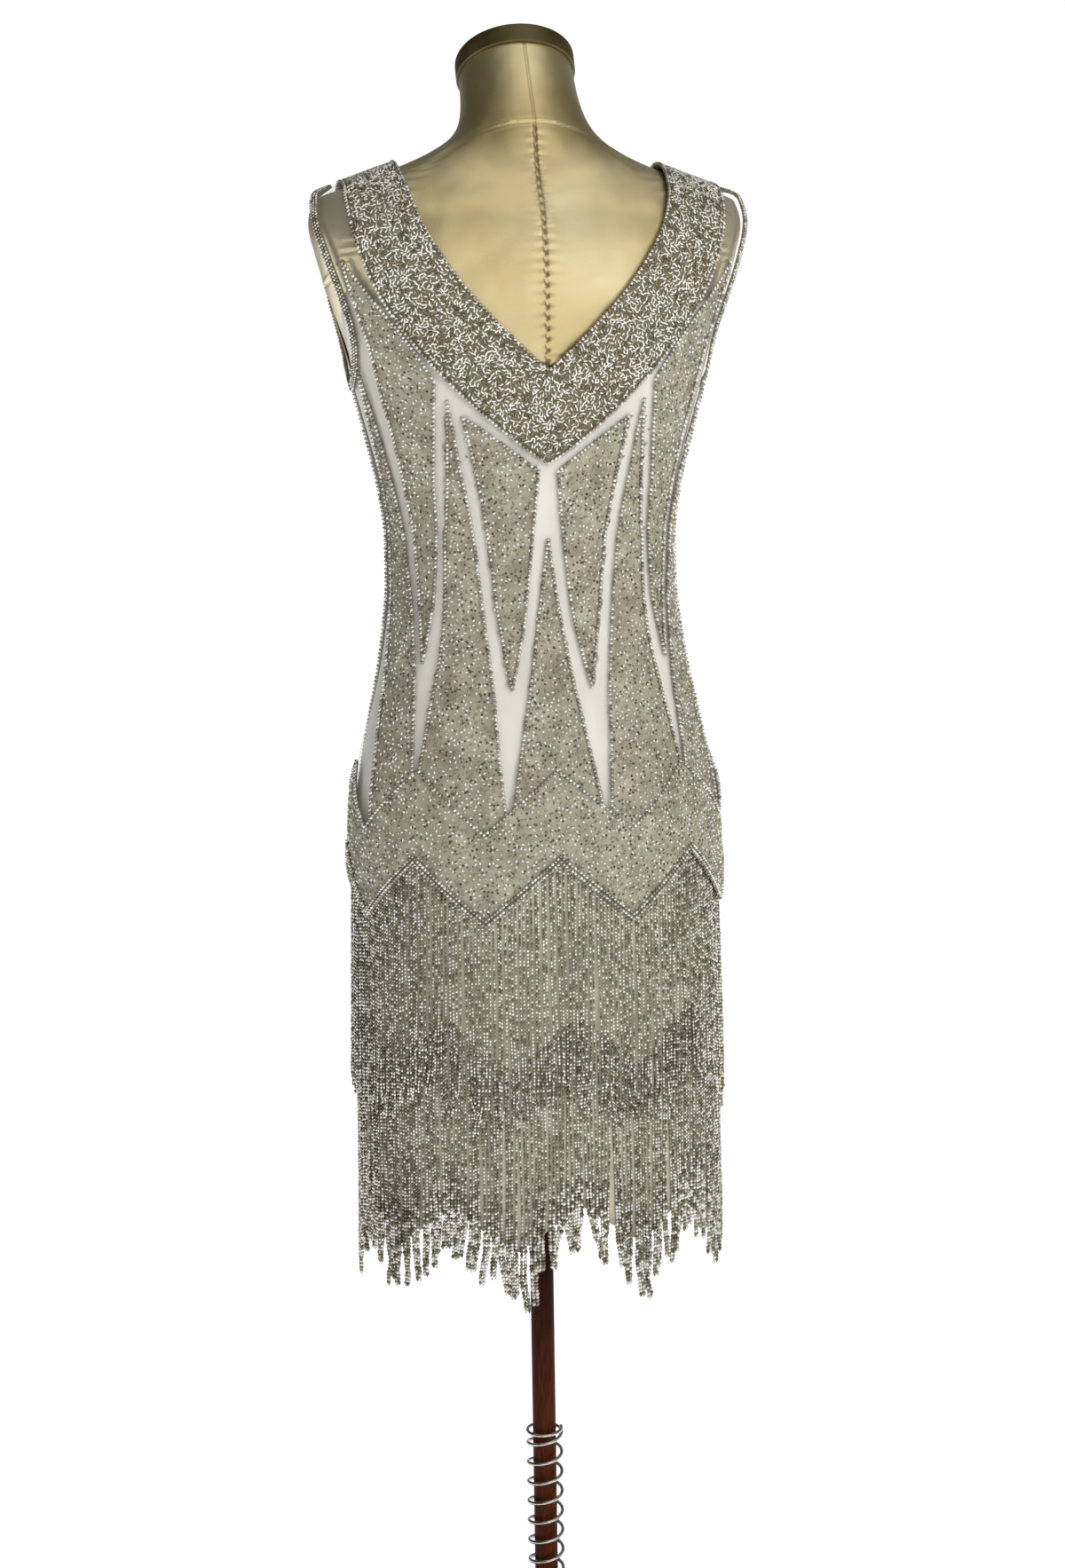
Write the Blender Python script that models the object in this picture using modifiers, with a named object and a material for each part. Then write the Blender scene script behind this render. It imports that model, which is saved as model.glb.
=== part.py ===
"""A sleeveless beaded evening dress with two tiers of fringe, on a gold dress form and its stand.

Metres, +Z up, the floor at Z = 0 under the pole. -Y is the dress's back and +Y its front.
Every layer of cloth lies on one figure: a table of level sections, moved outwards by a few millimetres.
"""

import random
from math import asin, cos, degrees, pi, radians, sin

import bmesh
import bpy
from mathutils import Matrix, Vector

MM = 0.001
BACK, FRONT = -1, 1

# The figure: the dress form's own surface, by level.
# Columns: height, half width, depth behind the axis, depth before it, squareness of the section.
FIGURE = (
    (0.660, 0.148, 0.104, 0.098, 2.2),
    (0.740, 0.1580, 0.113, 0.104, 2.2),
    (0.820, 0.1625, 0.117, 0.106, 2.2),
    (0.860, 0.1610, 0.115, 0.105, 2.2),
    (0.900, 0.1545, 0.109, 0.102, 2.2),
    (0.940, 0.1455, 0.101, 0.098, 2.2),
    (0.980, 0.1355, 0.092, 0.094, 2.2),
    (1.020, 0.1285, 0.085, 0.091, 2.2),
    (1.060, 0.1240, 0.081, 0.090, 2.2),
    (1.100, 0.1235, 0.081, 0.092, 2.2),
    (1.140, 0.1280, 0.085, 0.098, 2.2),
    (1.180, 0.1370, 0.090, 0.108, 2.2),
    (1.230, 0.1500, 0.096, 0.1145, 2.3),
    (1.270, 0.1600, 0.099, 0.109, 2.5),
    (1.310, 0.1735, 0.099, 0.095, 2.8),
    (1.345, 0.1840, 0.095, 0.081, 3.0),
    (1.372, 0.1900, 0.088, 0.070, 2.8),
    (1.390, 0.1865, 0.077, 0.061, 2.5),
    (1.401, 0.1620, 0.068, 0.054, 2.2),
    (1.410, 0.1380, 0.063, 0.050, 2.0),
    (1.419, 0.1130, 0.059, 0.048, 2.0),
    (1.427, 0.0930, 0.057, 0.047, 2.0),
    (1.437, 0.0730, 0.056, 0.048, 2.0),
)
# The neck of the form, tipped forward ring by ring. Columns: height, forward, half width, half depth, tilt.
NECK_RINGS = (
    (1.449, 0.004, 0.0605, 0.0560, 8.0),
    (1.463, 0.013, 0.0545, 0.0530, 15.0),
    (1.482, 0.025, 0.0515, 0.0510, 21.0),
    (1.5027, 0.038, 0.0505, 0.0505, 26.0),
)
HANG_LEVEL = 0.820  # below the hips the cloth hangs straight down

# Levels that the form, the lining and the bodice share, so that their walls stay parallel.
LEVELS = (0.860, 0.900, 0.940, 0.980, 1.020, 1.060, 1.100, 1.135)
CHEST_LEVELS = (1.165, 1.197, 1.230)
UNDERARM = CHEST_LEVELS[-1]
COLUMNS = 8  # columns from the centre line to the side seam; four times as many all round

# Layers, as distances out from the form.
LINING_OUT = 1.6 * MM
LINING_WALL = 1.0 * MM
SKIRT_OUT = 3.3 * MM
NET_OUT = 4.6 * MM
SHOULDER_OUT = 4.0 * MM
NET_WALL = 1.0 * MM
FRINGE_WALL = 1.2 * MM
HEM_OUT = 7.4 * MM  # the bodice hem passes over the root of the upper fringe
BAND_WALL = 2.0 * MM
TRIM_WALL = 2.4 * MM
STEP = 0.35 * MM  # clear space at a seam, and under what is sewn on
SEAM_ANGLE = radians(0.08)  # half of the gap at a side or shoulder seam

# The armholes are upright ovals in the side view, edged with a trim.
TRIM_WIDTH = 9 * MM
ARMHOLE_BOTTOM = UNDERARM + TRIM_WIDTH + STEP
ARMHOLE_TOP = 1.396
ARMHOLE_HALF_WIDTH = 0.046
ARMHOLE_ROWS = 11
ARMHOLE_CENTRE = Vector((0.2, 0, (ARMHOLE_BOTTOM + ARMHOLE_TOP) / 2))

# The neckline band. Its edges start on the centre line and rise to the shoulder seam.
# Columns: inner edge, outer edge.
BAND_SHOULDER_X = (0.115, 0.1610)
BAND_CENTRE_Z = (1.243, 1.166)
BAND_CURVE = (0.95, 0.88)
BAND_STRIPS = 3
PANEL_SHARE = 1.008  # the panel starts this share of the band's width from its inner edge

# Zigzag edges: heights at the peaks and at the points, and how many points go round.
ZIGZAG_POINTS = 8
HEM_PEAK, HEM_POINT = 0.824, 0.769
HEM_ROPE_WIDTH = 8 * MM
SKIRT_TOP, SKIRT_HEM = 0.846, 0.485
LINING_HEM = 0.495
LINING_TOP_ROWS = 4
LINING_TOP = ((0, 1.200), (30, 1.262), (60, 1.312), (75, 1.285), (90, 1.236))  # angle, height

# Fringe tiers. Columns: points round, strands to a point, turn, root at peak, root at point, tips at peak,
# tips at point, how far out the root lies, how far out the tips hang, seed.
FRINGE_TIERS = {
    "fringe_upper": (8, 11, 0.0, 0.828, 0.773, 0.622, 0.587, 4.6 * MM, 8.6 * MM, 3),
    "fringe_lower": (9, 11, radians(5), 0.684, 0.636, 0.492, 0.430, 4.6 * MM, 5.2 * MM, 8),
}
FRINGE_STRIP = 8 * MM
STRAND_SHARE = 0.62  # of the pitch; the rest is the gap to the next strand
TIP_SHARE = 0.40
TIP_SCATTER = 0.009

# The stand.
BASE_RADIUS, BASE_THICKNESS = 0.165, 0.014
HUB_RADIUS, HUB_HEIGHT = 0.021, 0.046
POLE_RADIUS, POLE_FOOT = 0.011, 0.0123
BORE_RADIUS = 0.0113
FORM_BOTTOM = 0.660
SOCKET_RADIUS, SOCKET_HEIGHT = 0.030, 0.034
SPRING_WIRE, SPRING_RADIUS = 3.5 * MM, 16.2 * MM
SPRING_PITCH, SPRING_TOP = 0.0198, 0.250
CAP_RADIUS, CAP_THICKNESS, CAP_TILT = 0.0530, 0.019, radians(26)
CAP_CENTRE = Vector((0.0, 0.038, 1.503))

COLOURS = {  # colour, roughness, metallic
    "gold_vinyl": ((0.42, 0.30, 0.11), 0.35, 0.6),
    "bronze_cap": ((0.16, 0.12, 0.06), 0.35, 0.8),
    "pole_wood": ((0.16, 0.035, 0.012), 0.2, 0.0),
    "chrome_metal": ((0.62, 0.60, 0.57), 0.12, 1.0),
    "base_iron": ((0.05, 0.045, 0.04), 0.4, 0.3),
    "champagne_net": ((0.52, 0.49, 0.40), 0.6, 0.1),
    "ivory_lining": ((0.72, 0.70, 0.66), 0.45, 0.0),
    "silver_beads": ((0.50, 0.46, 0.36), 0.25, 0.7),
}


def clear_scene():
    for thing in list(bpy.data.objects):
        bpy.data.objects.remove(thing, do_unlink=True)


def steady_curve(xs, ys):
    """A smooth curve through the points that never swings past them (monotone cubic)."""
    steps = [b - a for a, b in zip(xs, xs[1:])]
    slopes = [(d - c) / h for c, d, h in zip(ys, ys[1:], steps)]
    tangents = [slopes[0]]
    for a, b in zip(slopes, slopes[1:]):
        tangents.append(0.0 if a * b <= 0 else 2 * a * b / (a + b))
    tangents.append(slopes[-1])

    def value(x):
        x = min(max(x, xs[0]), xs[-1])
        i = max(k for k in range(len(steps)) if k == 0 or x >= xs[k])
        h, t = steps[i], (x - xs[i]) / steps[i]
        return (
            ys[i] * (1 + 2 * t) * (1 - t) ** 2
            + tangents[i] * h * t * (1 - t) ** 2
            + ys[i + 1] * t * t * (3 - 2 * t)
            + tangents[i + 1] * h * t * t * (t - 1)
        )

    return value


HEIGHTS = [row[0] for row in FIGURE]
HALF_WIDTH, BACK_DEPTH, FRONT_DEPTH, SQUARENESS = (
    steady_curve(HEIGHTS, [row[k] for row in FIGURE]) for k in range(1, 5)
)


def section(z, side):
    """Half width, depth on one side (the sign of side), and squareness of the figure at height z."""
    return HALF_WIDTH(z), BACK_DEPTH(z) if side < 0 else FRONT_DEPTH(z), SQUARENESS(z)


def swell(point, floor=HANG_LEVEL):
    """1 on the figure's surface, less inside it and more outside. Cloth hangs straight below floor."""
    width, depth, power = section(max(point.z, floor), point.y)
    return ((abs(point.x) / width) ** power + (abs(point.y) / depth) ** power) ** (1 / power)


def slope(point, floor=HANG_LEVEL):
    e = 0.4 * MM
    axes = (Vector((e, 0, 0)), Vector((0, e, 0)), Vector((0, 0, e)))
    return Vector([swell(point + a, floor) - swell(point - a, floor) for a in axes]) / (2 * e)


def settle(point, out, floor=HANG_LEVEL):
    """The figure's surface nearest to a point, moved out along the surface's normal."""
    for _ in range(5):
        steepest = slope(point, floor)
        point = point - steepest * ((swell(point, floor) - 1) / steepest.length_squared)
    return point + slope(point, floor).normalized() * out


def skin(start, direction, out, floor=HANG_LEVEL):
    """The point where a ray from inside meets the figure, moved out along the surface's normal."""
    near, far = 0.0, 0.4
    for _ in range(30):
        middle = (near + far) / 2
        if swell(start + direction * middle, floor) < 1:
            near = middle
        else:
            far = middle
    point = start + direction * near
    return point + slope(point, floor).normalized() * out


def around(angle, z, out, floor=HANG_LEVEL):
    """A point of a level section. Angle 0 is the centre back, 90 degrees the right side seam."""
    side = BACK if cos(angle) > 0 else FRONT
    width, depth, _ = section(max(z, floor), side)
    direction = Vector((width * sin(angle), -depth * cos(angle), 0)).normalized()
    return skin(Vector((0, 0, z)), direction, out, floor)


def over(x, rise, side, out):
    """A point above the underarm: in the upright plane at x, at an angle of rise from the underarm level."""
    direction = Vector((0, side * cos(rise), sin(rise)))
    return skin(Vector((x, 0, UNDERARM)), direction, out)


def ease(low, high, value):
    """0 at low, 1 at high, and smooth between."""
    share = min(1.0, max(0.0, (value - low) / (high - low)))
    return share * share * (3 - 2 * share)


def bodice_out(z):
    """How far out the bodice lies: over the fringe's root at the hem, closest on the shoulders."""
    at_hem, at_shoulder = ease(0.935, 0.855, z), ease(1.32, 1.38, z)
    return NET_OUT + (HEM_OUT - NET_OUT) * at_hem + (SHOULDER_OUT - NET_OUT) * at_shoulder


def between(start, end, count):
    """Evenly spaced points of the bodice from one point of the figure to another."""
    middle = [start.lerp(end, k / count) for k in range(count + 1)]
    return [settle(point, bodice_out(point.z)) for point in middle]


def root_of(function, low, high):
    """Where a falling function crosses zero."""
    for _ in range(32):
        middle = (low + high) / 2
        if function(middle) > 0:
            low = middle
        else:
            high = middle
    return (low + high) / 2


def shoulder_height(x):
    return over(x, pi / 2, BACK, 0).z


def band_edge_height(x, share):
    """Height of the band's edge line at x; share is 0 on the inner edge and 1 on the outer one."""
    inner, outer = BAND_SHOULDER_X
    reach = inner + (outer - inner) * share
    low, high = BAND_CENTRE_Z
    start = low + (high - low) * share
    power = BAND_CURVE[0] + (BAND_CURVE[1] - BAND_CURVE[0]) * share
    along = 2 / pi * asin(min(1.0, x / reach))
    return start + along ** (1 / power) * (shoulder_height(reach) - start)


def band_points(share, side):
    """Points along an edge line of the band, from the centre line to the shoulder seam."""
    reach = BAND_SHOULDER_X[0] + (BAND_SHOULDER_X[1] - BAND_SHOULDER_X[0]) * share
    first = root_of(
        lambda rise: band_edge_height(0, share) - over(0, rise, side, 0).z, radians(-60), radians(60)
    )
    count = len(CHEST_LEVELS) - 1 + ARMHOLE_ROWS
    points = [over(0, first, side, 0)]
    for k in range(1, count + 1):
        rise = first + (pi / 2 - SEAM_ANGLE - first) * (k / count) ** 0.92
        x = root_of(lambda x: over(x, rise, side, 0).z - band_edge_height(x, share), 0, reach)
        points.append(over(x, rise, side, 0))
    return points


def armhole_point(turn, side):
    """A point round the armhole's edge, from -90 degrees at the underarm to 90 at the shoulder."""
    half_height = (ARMHOLE_TOP - ARMHOLE_BOTTOM) / 2
    y = side * ARMHOLE_HALF_WIDTH * cos(turn)
    z = ARMHOLE_BOTTOM + half_height * (1 + sin(turn))
    width, depth, power = section(z, side)
    return Vector((width * max(0.0, 1 - (abs(y) / depth) ** power) ** (1 / power), y, z))


def armhole_edge(turn, side, apart):
    """The armhole's edge, set back along the surface."""
    here, small = armhole_point(turn, side), radians(0.5)
    along = armhole_point(turn + small, side) - armhole_point(turn - small, side)
    away = along.cross(slope(here)).normalized()
    if away.dot(here - ARMHOLE_CENTRE) < 0:
        away = -away
    return settle(here + away * apart, 0)


def zigzag(angle, peak, point, points=ZIGZAG_POINTS, turn=0.0):
    """Height of a zigzag edge with a peak at angle 0, or at turn."""
    phase = ((angle - turn) * points / (2 * pi)) % 1.0
    return point + (peak - point) * abs(1 - 2 * phase)


def plain(name):
    colour, roughness, metallic = COLOURS[name]
    material = bpy.data.materials.get(name) or bpy.data.materials.new(name)
    material.use_nodes = True
    shader = material.node_tree.nodes["Principled BSDF"]
    shader.inputs["Base Color"].default_value = (*colour, 1)
    shader.inputs["Roughness"].default_value = roughness
    shader.inputs["Metallic"].default_value = metallic
    return material


def add_object(name, data, finish):
    thing = bpy.data.objects.new(name, data)
    data.materials.append(plain(finish))
    bpy.data.collections["beaded_dress"].objects.link(thing)
    if thing.type == "MESH":
        data.shade_smooth()
        data.set_sharp_from_angle(angle=radians(40))
    return thing


def grid_mesh(name, rows, closed_round=False, faces_out=True, caps=False):
    """A sheet of quads through rows of points, each row as long as the others."""
    sheet = bmesh.new()
    made = [[sheet.verts.new(point) for point in row] for row in rows]
    count = len(rows[0])
    for low, high in zip(made, made[1:]):
        for j in range(count if closed_round else count - 1):
            k = (j + 1) % count
            corners = (low[j], low[k], high[k], high[j])
            sheet.faces.new(corners if faces_out else corners[::-1])
    if caps:
        sheet.faces.new(made[0][::-1] if faces_out else made[0])
        sheet.faces.new(made[-1] if faces_out else made[-1][::-1])
    mesh = bpy.data.meshes.new(name)
    sheet.to_mesh(mesh)
    sheet.free()
    return mesh


def thicken(thing, wall):
    solidify = thing.modifiers.new("cloth", "SOLIDIFY")
    solidify.thickness = wall
    solidify.offset = 1
    return thing


def mirrored_panel(name, rows, side, wall, finish):
    """A panel given from the centre line to the +X side, mirrored and made a wall."""
    thing = add_object(name, grid_mesh(name, rows, faces_out=side == BACK), finish)
    mirror = thing.modifiers.new("other half", "MIRROR")
    mirror.use_axis = (True, False, False)
    mirror.merge_threshold = 0.0001
    return thicken(thing, wall)


# The dress form: torso and neck in one padded body, a neck cap, and the stand


def round_angles():
    return [pi / 2 * j / COLUMNS for j in range(4 * COLUMNS)]


def neck_ring(height, forward, half_width, half_depth, tilt):
    centre, lean = Vector((0, forward, height)), Matrix.Rotation(-radians(tilt), 3, "X")
    flat = [Vector((half_width * sin(a), -half_depth * cos(a), 0)) for a in round_angles()]
    return [centre + lean @ point for point in flat]


def build_form():
    heights = [FORM_BOTTOM + 0.1 * MM, 0.700, 0.740, 0.780, HANG_LEVEL, *LEVELS, *CHEST_LEVELS]
    heights += [z for z in HEIGHTS if z > UNDERARM]
    rows = [[around(a, z, 0, floor=0) for a in round_angles()] for z in heights]
    rows += [neck_ring(*row) for row in NECK_RINGS]
    add_object("form_torso", grid_mesh("form_torso", rows, closed_round=True, caps=True), "gold_vinyl")


def turned(name, profile, finish, steps=40):
    """A closed outline of (radius, height) pairs, run down the outer side, turned round the Z axis."""
    mesh = bpy.data.meshes.new(name)
    ends = [(i, (i + 1) % len(profile)) for i in range(len(profile))]
    touching = profile[0][0] == 0 and profile[-1][0] == 0
    mesh.from_pydata([(r, 0, z) for r, z in profile], ends[:-1] if touching else ends, [])
    thing = add_object(name, mesh, finish)
    screw = thing.modifiers.new("turn", "SCREW")
    screw.axis = "Z"
    screw.steps = screw.render_steps = steps
    screw.use_merge_vertices = True
    screw.merge_threshold = 0.00005
    return thing


def build_stand():
    edge = 3 * MM
    turned(
        "stand_base",
        [
            (0, POLE_FOOT - 0.3 * MM),
            (BORE_RADIUS, POLE_FOOT - 0.3 * MM),
            (BORE_RADIUS, HUB_HEIGHT),
            (HUB_RADIUS - 1.5 * MM, HUB_HEIGHT),
            (HUB_RADIUS, HUB_HEIGHT - 1.5 * MM),
            (HUB_RADIUS + 1 * MM, BASE_THICKNESS + 12 * MM),
            (HUB_RADIUS + 8 * MM, BASE_THICKNESS + 3 * MM),
            (BASE_RADIUS - 14 * MM, BASE_THICKNESS),
            (BASE_RADIUS - edge, BASE_THICKNESS - 1.5 * MM),
            (BASE_RADIUS, BASE_THICKNESS - 1.5 * MM - edge),
            (BASE_RADIUS, 2 * MM),
            (BASE_RADIUS - 2 * MM, 0),
            (0, 0),
        ],
        "base_iron",
    )
    pole_top = FORM_BOTTOM - 0.3 * MM
    turned(
        "stand_pole",
        [(0, pole_top), (POLE_RADIUS, pole_top), (POLE_RADIUS, POLE_FOOT), (0, POLE_FOOT)],
        "pole_wood",
    )
    turned(
        "stand_socket",
        [
            (BORE_RADIUS, pole_top),
            (SOCKET_RADIUS, pole_top),
            (SOCKET_RADIUS, pole_top - 4 * MM),
            (SOCKET_RADIUS * 0.6, pole_top - 8 * MM),
            (SOCKET_RADIUS * 0.6, pole_top - SOCKET_HEIGHT),
            (BORE_RADIUS, pole_top - SOCKET_HEIGHT),
        ],
        "chrome_metal",
    )
    build_spring()
    cap = turned(
        "form_neck_cap",
        [
            (0, CAP_THICKNESS),
            (CAP_RADIUS - 4 * MM, CAP_THICKNESS - 0.5 * MM),
            (CAP_RADIUS - 1 * MM, CAP_THICKNESS - 2 * MM),
            (CAP_RADIUS, CAP_THICKNESS - 4 * MM),
            (CAP_RADIUS, 1 * MM),
            (CAP_RADIUS - 1 * MM, 0),
            (0, 0),
        ],
        "bronze_cap",
    )
    cap.rotation_euler = (-CAP_TILT, 0, 0)
    cap.location = CAP_CENTRE


def build_spring():
    """A loose wire spring round the pole, its end coils closed, standing on the hub."""
    low = HUB_HEIGHT + 0.3 * MM + SPRING_WIRE / 2
    closed_rise = SPRING_WIRE + 0.5 * MM
    open_turns = round((SPRING_TOP - low - 2 * closed_rise) / SPRING_PITCH)
    per_turn = 12
    z, points = low, []
    for i in range((open_turns + 2) * per_turn + 1):
        angle = 2 * pi * i / per_turn
        points.append((SPRING_RADIUS * cos(angle), SPRING_RADIUS * sin(angle), z))
        is_end = i < per_turn or i >= (open_turns + 1) * per_turn
        z += (closed_rise if is_end else SPRING_PITCH) / per_turn
    curve = bpy.data.curves.new("stand_spring", "CURVE")
    curve.dimensions = "3D"
    curve.bevel_depth = SPRING_WIRE / 2
    curve.bevel_resolution = 2
    curve.use_fill_caps = True
    line = curve.splines.new("POLY")
    line.points.add(len(points) - 1)
    for place, point in zip(line.points, points):
        place.co = (*point, 1)
    add_object("stand_spring", curve, "chrome_metal")


# The dress: lining, bodice, skirt, neckline bands, armhole trims, hem ropes and fringe


def build_lining():
    """The slip under the net. Its top edge follows the neckline and dips to the underarms."""
    top = steady_curve([row[0] for row in LINING_TOP], [row[1] for row in LINING_TOP])
    low = LEVELS[-1]
    rows = [[around(a, z, LINING_OUT) for a in round_angles()] for z in (LINING_HEM, HANG_LEVEL, *LEVELS)]
    for k in range(1, LINING_TOP_ROWS + 1):
        row = []
        for a in round_angles():
            from_side = abs(degrees(asin(sin(a))))
            row.append(around(a, low + (top(from_side) - low) * k / LINING_TOP_ROWS, LINING_OUT))
        rows.append(row)
    lining = add_object("lining", grid_mesh("lining", rows, closed_round=True), "ivory_lining")
    thicken(lining, LINING_WALL)


def half_angles(side):
    """The columns of a panel: from the centre back or the centre front to just short of the side seam."""
    angles = [(pi / 2 - SEAM_ANGLE) * j / COLUMNS for j in range(COLUMNS + 1)]
    return angles if side == BACK else [pi - a for a in angles]


def armhole_turns():
    return [radians(-90 + 180 * k / ARMHOLE_ROWS) for k in range(ARMHOLE_ROWS + 1)]


def build_bodice():
    """Rows from the zigzag hem up to the band's start, then from the band's edge to side and armhole."""
    seam = radians(0.3)
    for name, side in (("bodice_back", BACK), ("bodice_front", FRONT)):
        angles = half_angles(side)
        rows = [[around(a, zigzag(a, HEM_PEAK, HEM_POINT), HEM_OUT) for a in angles]]
        rows += [[around(a, z, bodice_out(z)) for a in angles] for z in LEVELS]
        starts = band_points(PANEL_SHARE, side)
        ends = [around(angles[-1], z, 0) for z in CHEST_LEVELS]
        ends += [armhole_edge(t, side, TRIM_WIDTH + STEP) for t in armhole_turns()[1:-1]]
        ends.append(armhole_edge(pi / 2 - seam, side, TRIM_WIDTH + STEP))
        rows += [between(start, end, COLUMNS) for start, end in zip(starts, ends)]
        mirrored_panel(name, rows, side, NET_WALL, "champagne_net")


def build_skirt():
    """The net skirt that the lower fringe lies on, one panel behind and one before."""
    for name, side in (("skirt_back", BACK), ("skirt_front", FRONT)):
        heights = (SKIRT_HEM, 0.660, HANG_LEVEL, SKIRT_TOP)
        rows = [[around(a, z, SKIRT_OUT) for a in half_angles(side)] for z in heights]
        mirrored_panel(name, rows, side, NET_WALL, "champagne_net")


def build_neck_bands():
    """The thick V bands. Each outer edge meets the bodice panel's neckline, point by point."""
    for name, side in (("neck_band_back", BACK), ("neck_band_front", FRONT)):
        pairs = zip(band_points(0, side), band_points(1, side))
        rows = [between(inner, outer, BAND_STRIPS) for inner, outer in pairs]
        mirrored_panel(name, rows, side, BAND_WALL, "silver_beads")


def build_armhole_trims():
    """Three beaded cords lie side by side round each armhole; here they are one raised ring."""
    turns = armhole_turns()
    path = [(t, BACK) for t in turns] + [(t, FRONT) for t in turns[-2:0:-1]]
    edges = [(armhole_edge(t, side, 0), armhole_edge(t, side, TRIM_WIDTH)) for t, side in path]
    for name, mirror in (("armhole_trim_left", -1), ("armhole_trim_right", 1)):
        flip = Vector((mirror, 1, 1))
        rows = [[settle(edge[k], bodice_out(edge[k].z)) * flip for edge in edges] for k in (0, 1)]
        mesh = grid_mesh(name, rows, closed_round=True, faces_out=mirror > 0)
        thicken(add_object(name, mesh, "silver_beads"), TRIM_WALL)


def build_hem_ropes():
    """The double beaded rope along the zigzag hem of the bodice."""
    out = HEM_OUT + NET_WALL + STEP
    for name, side in (("hem_rope_back", BACK), ("hem_rope_front", FRONT)):
        rows = []
        for lift in (0, HEM_ROPE_WIDTH):
            row = [around(a, zigzag(a, HEM_PEAK, HEM_POINT) + lift, out) for a in half_angles(side)]
            rows.append(row)
        mirrored_panel(name, rows, side, BAND_WALL, "silver_beads")


def build_fringe():
    """Each tier is a ring of strands whose tops are fused into one narrow zigzag strip."""
    for name, row in FRINGE_TIERS.items():
        points, per_point, turn, root_peak, root_point, tip_peak, tip_point, root_out, tip_out, seed = row
        scatter = random.Random(seed)
        count = points * per_point
        pitch = 2 * pi / count
        sheet = bmesh.new()
        top, low = [], []
        for i in range(count):
            for angle in (i * pitch, (i + STRAND_SHARE) * pitch):
                z = zigzag(angle, root_peak, root_point, points, turn)
                top.append(sheet.verts.new(around(angle, z + FRINGE_STRIP, root_out)))
                low.append(sheet.verts.new(around(angle, z, root_out)))
        for j in range(2 * count):
            k = (j + 1) % (2 * count)
            sheet.faces.new((low[j], low[k], top[k], top[j]))
        for i in range(count):
            middle = (i + STRAND_SHARE / 2) * pitch
            z = zigzag(middle, tip_peak, tip_point, points, turn) + scatter.uniform(-1, 1) * TIP_SCATTER
            half = pitch * STRAND_SHARE * TIP_SHARE / 2
            ends = [sheet.verts.new(around(middle + s * half, z, tip_out)) for s in (-1, 1)]
            sheet.faces.new((ends[0], ends[1], low[2 * i + 1], low[2 * i]))
        mesh = bpy.data.meshes.new(name)
        sheet.to_mesh(mesh)
        sheet.free()
        thicken(add_object(name, mesh, "silver_beads"), FRINGE_WALL)


clear_scene()
bpy.context.scene.collection.children.link(bpy.data.collections.new("beaded_dress"))
build_form()
build_stand()
build_lining()
build_bodice()
build_skirt()
build_neck_bands()
build_armhole_trims()
build_hem_ropes()
build_fringe()
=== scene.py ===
"""The looks of a beaded evening dress with two tiers of fringe, worn by a gold dress form on its stand.

Metres, +Z up, the floor at Z = 0 under the pole. -Y is the dress's back, which the photograph shows.
Every layer of cloth and every bead lies on one figure, the dress form's surface, moved outwards.
"""

import math

import bpy
import numpy as np
from mathutils import Euler, Matrix, Vector


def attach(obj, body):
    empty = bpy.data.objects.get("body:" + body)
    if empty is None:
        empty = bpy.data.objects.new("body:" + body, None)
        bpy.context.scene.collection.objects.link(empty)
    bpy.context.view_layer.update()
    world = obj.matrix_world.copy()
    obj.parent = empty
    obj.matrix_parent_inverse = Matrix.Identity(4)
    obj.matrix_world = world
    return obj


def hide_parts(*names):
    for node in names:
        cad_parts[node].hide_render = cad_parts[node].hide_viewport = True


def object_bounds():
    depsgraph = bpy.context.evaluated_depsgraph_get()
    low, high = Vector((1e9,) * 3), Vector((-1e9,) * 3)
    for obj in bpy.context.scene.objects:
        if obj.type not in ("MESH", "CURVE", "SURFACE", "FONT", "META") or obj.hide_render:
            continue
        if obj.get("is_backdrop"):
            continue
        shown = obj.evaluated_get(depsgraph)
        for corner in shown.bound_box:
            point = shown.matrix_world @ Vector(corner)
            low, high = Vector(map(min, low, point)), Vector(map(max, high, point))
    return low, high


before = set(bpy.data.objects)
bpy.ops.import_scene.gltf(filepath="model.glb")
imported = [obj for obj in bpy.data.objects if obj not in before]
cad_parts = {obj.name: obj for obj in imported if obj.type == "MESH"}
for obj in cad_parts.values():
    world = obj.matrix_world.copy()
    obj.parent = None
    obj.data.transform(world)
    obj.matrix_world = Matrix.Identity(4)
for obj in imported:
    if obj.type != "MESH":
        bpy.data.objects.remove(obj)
cad_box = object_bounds()

# ----------------------------
# The view. A lens 1.18 m up looks at the back of the dress from 2 m away, a little from the left and a
# little down, and was held almost one degree off level.

VIEW_TURN, VIEW_DISTANCE, VIEW_HEIGHT = math.radians(-10), 2.0, 1.18
AIM_HEIGHT, VIEW_ROLL = 0.875, math.radians(0.9)
FRAME_HEIGHT, FOCAL_PIXELS, SHIFT_PIXELS, SENSOR = 1767, 2500, -2, 36


def new_object(name, data):
    """An object in the scene."""
    thing = bpy.data.objects.new(name, data)
    bpy.context.scene.collection.objects.link(thing)
    return thing


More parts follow.
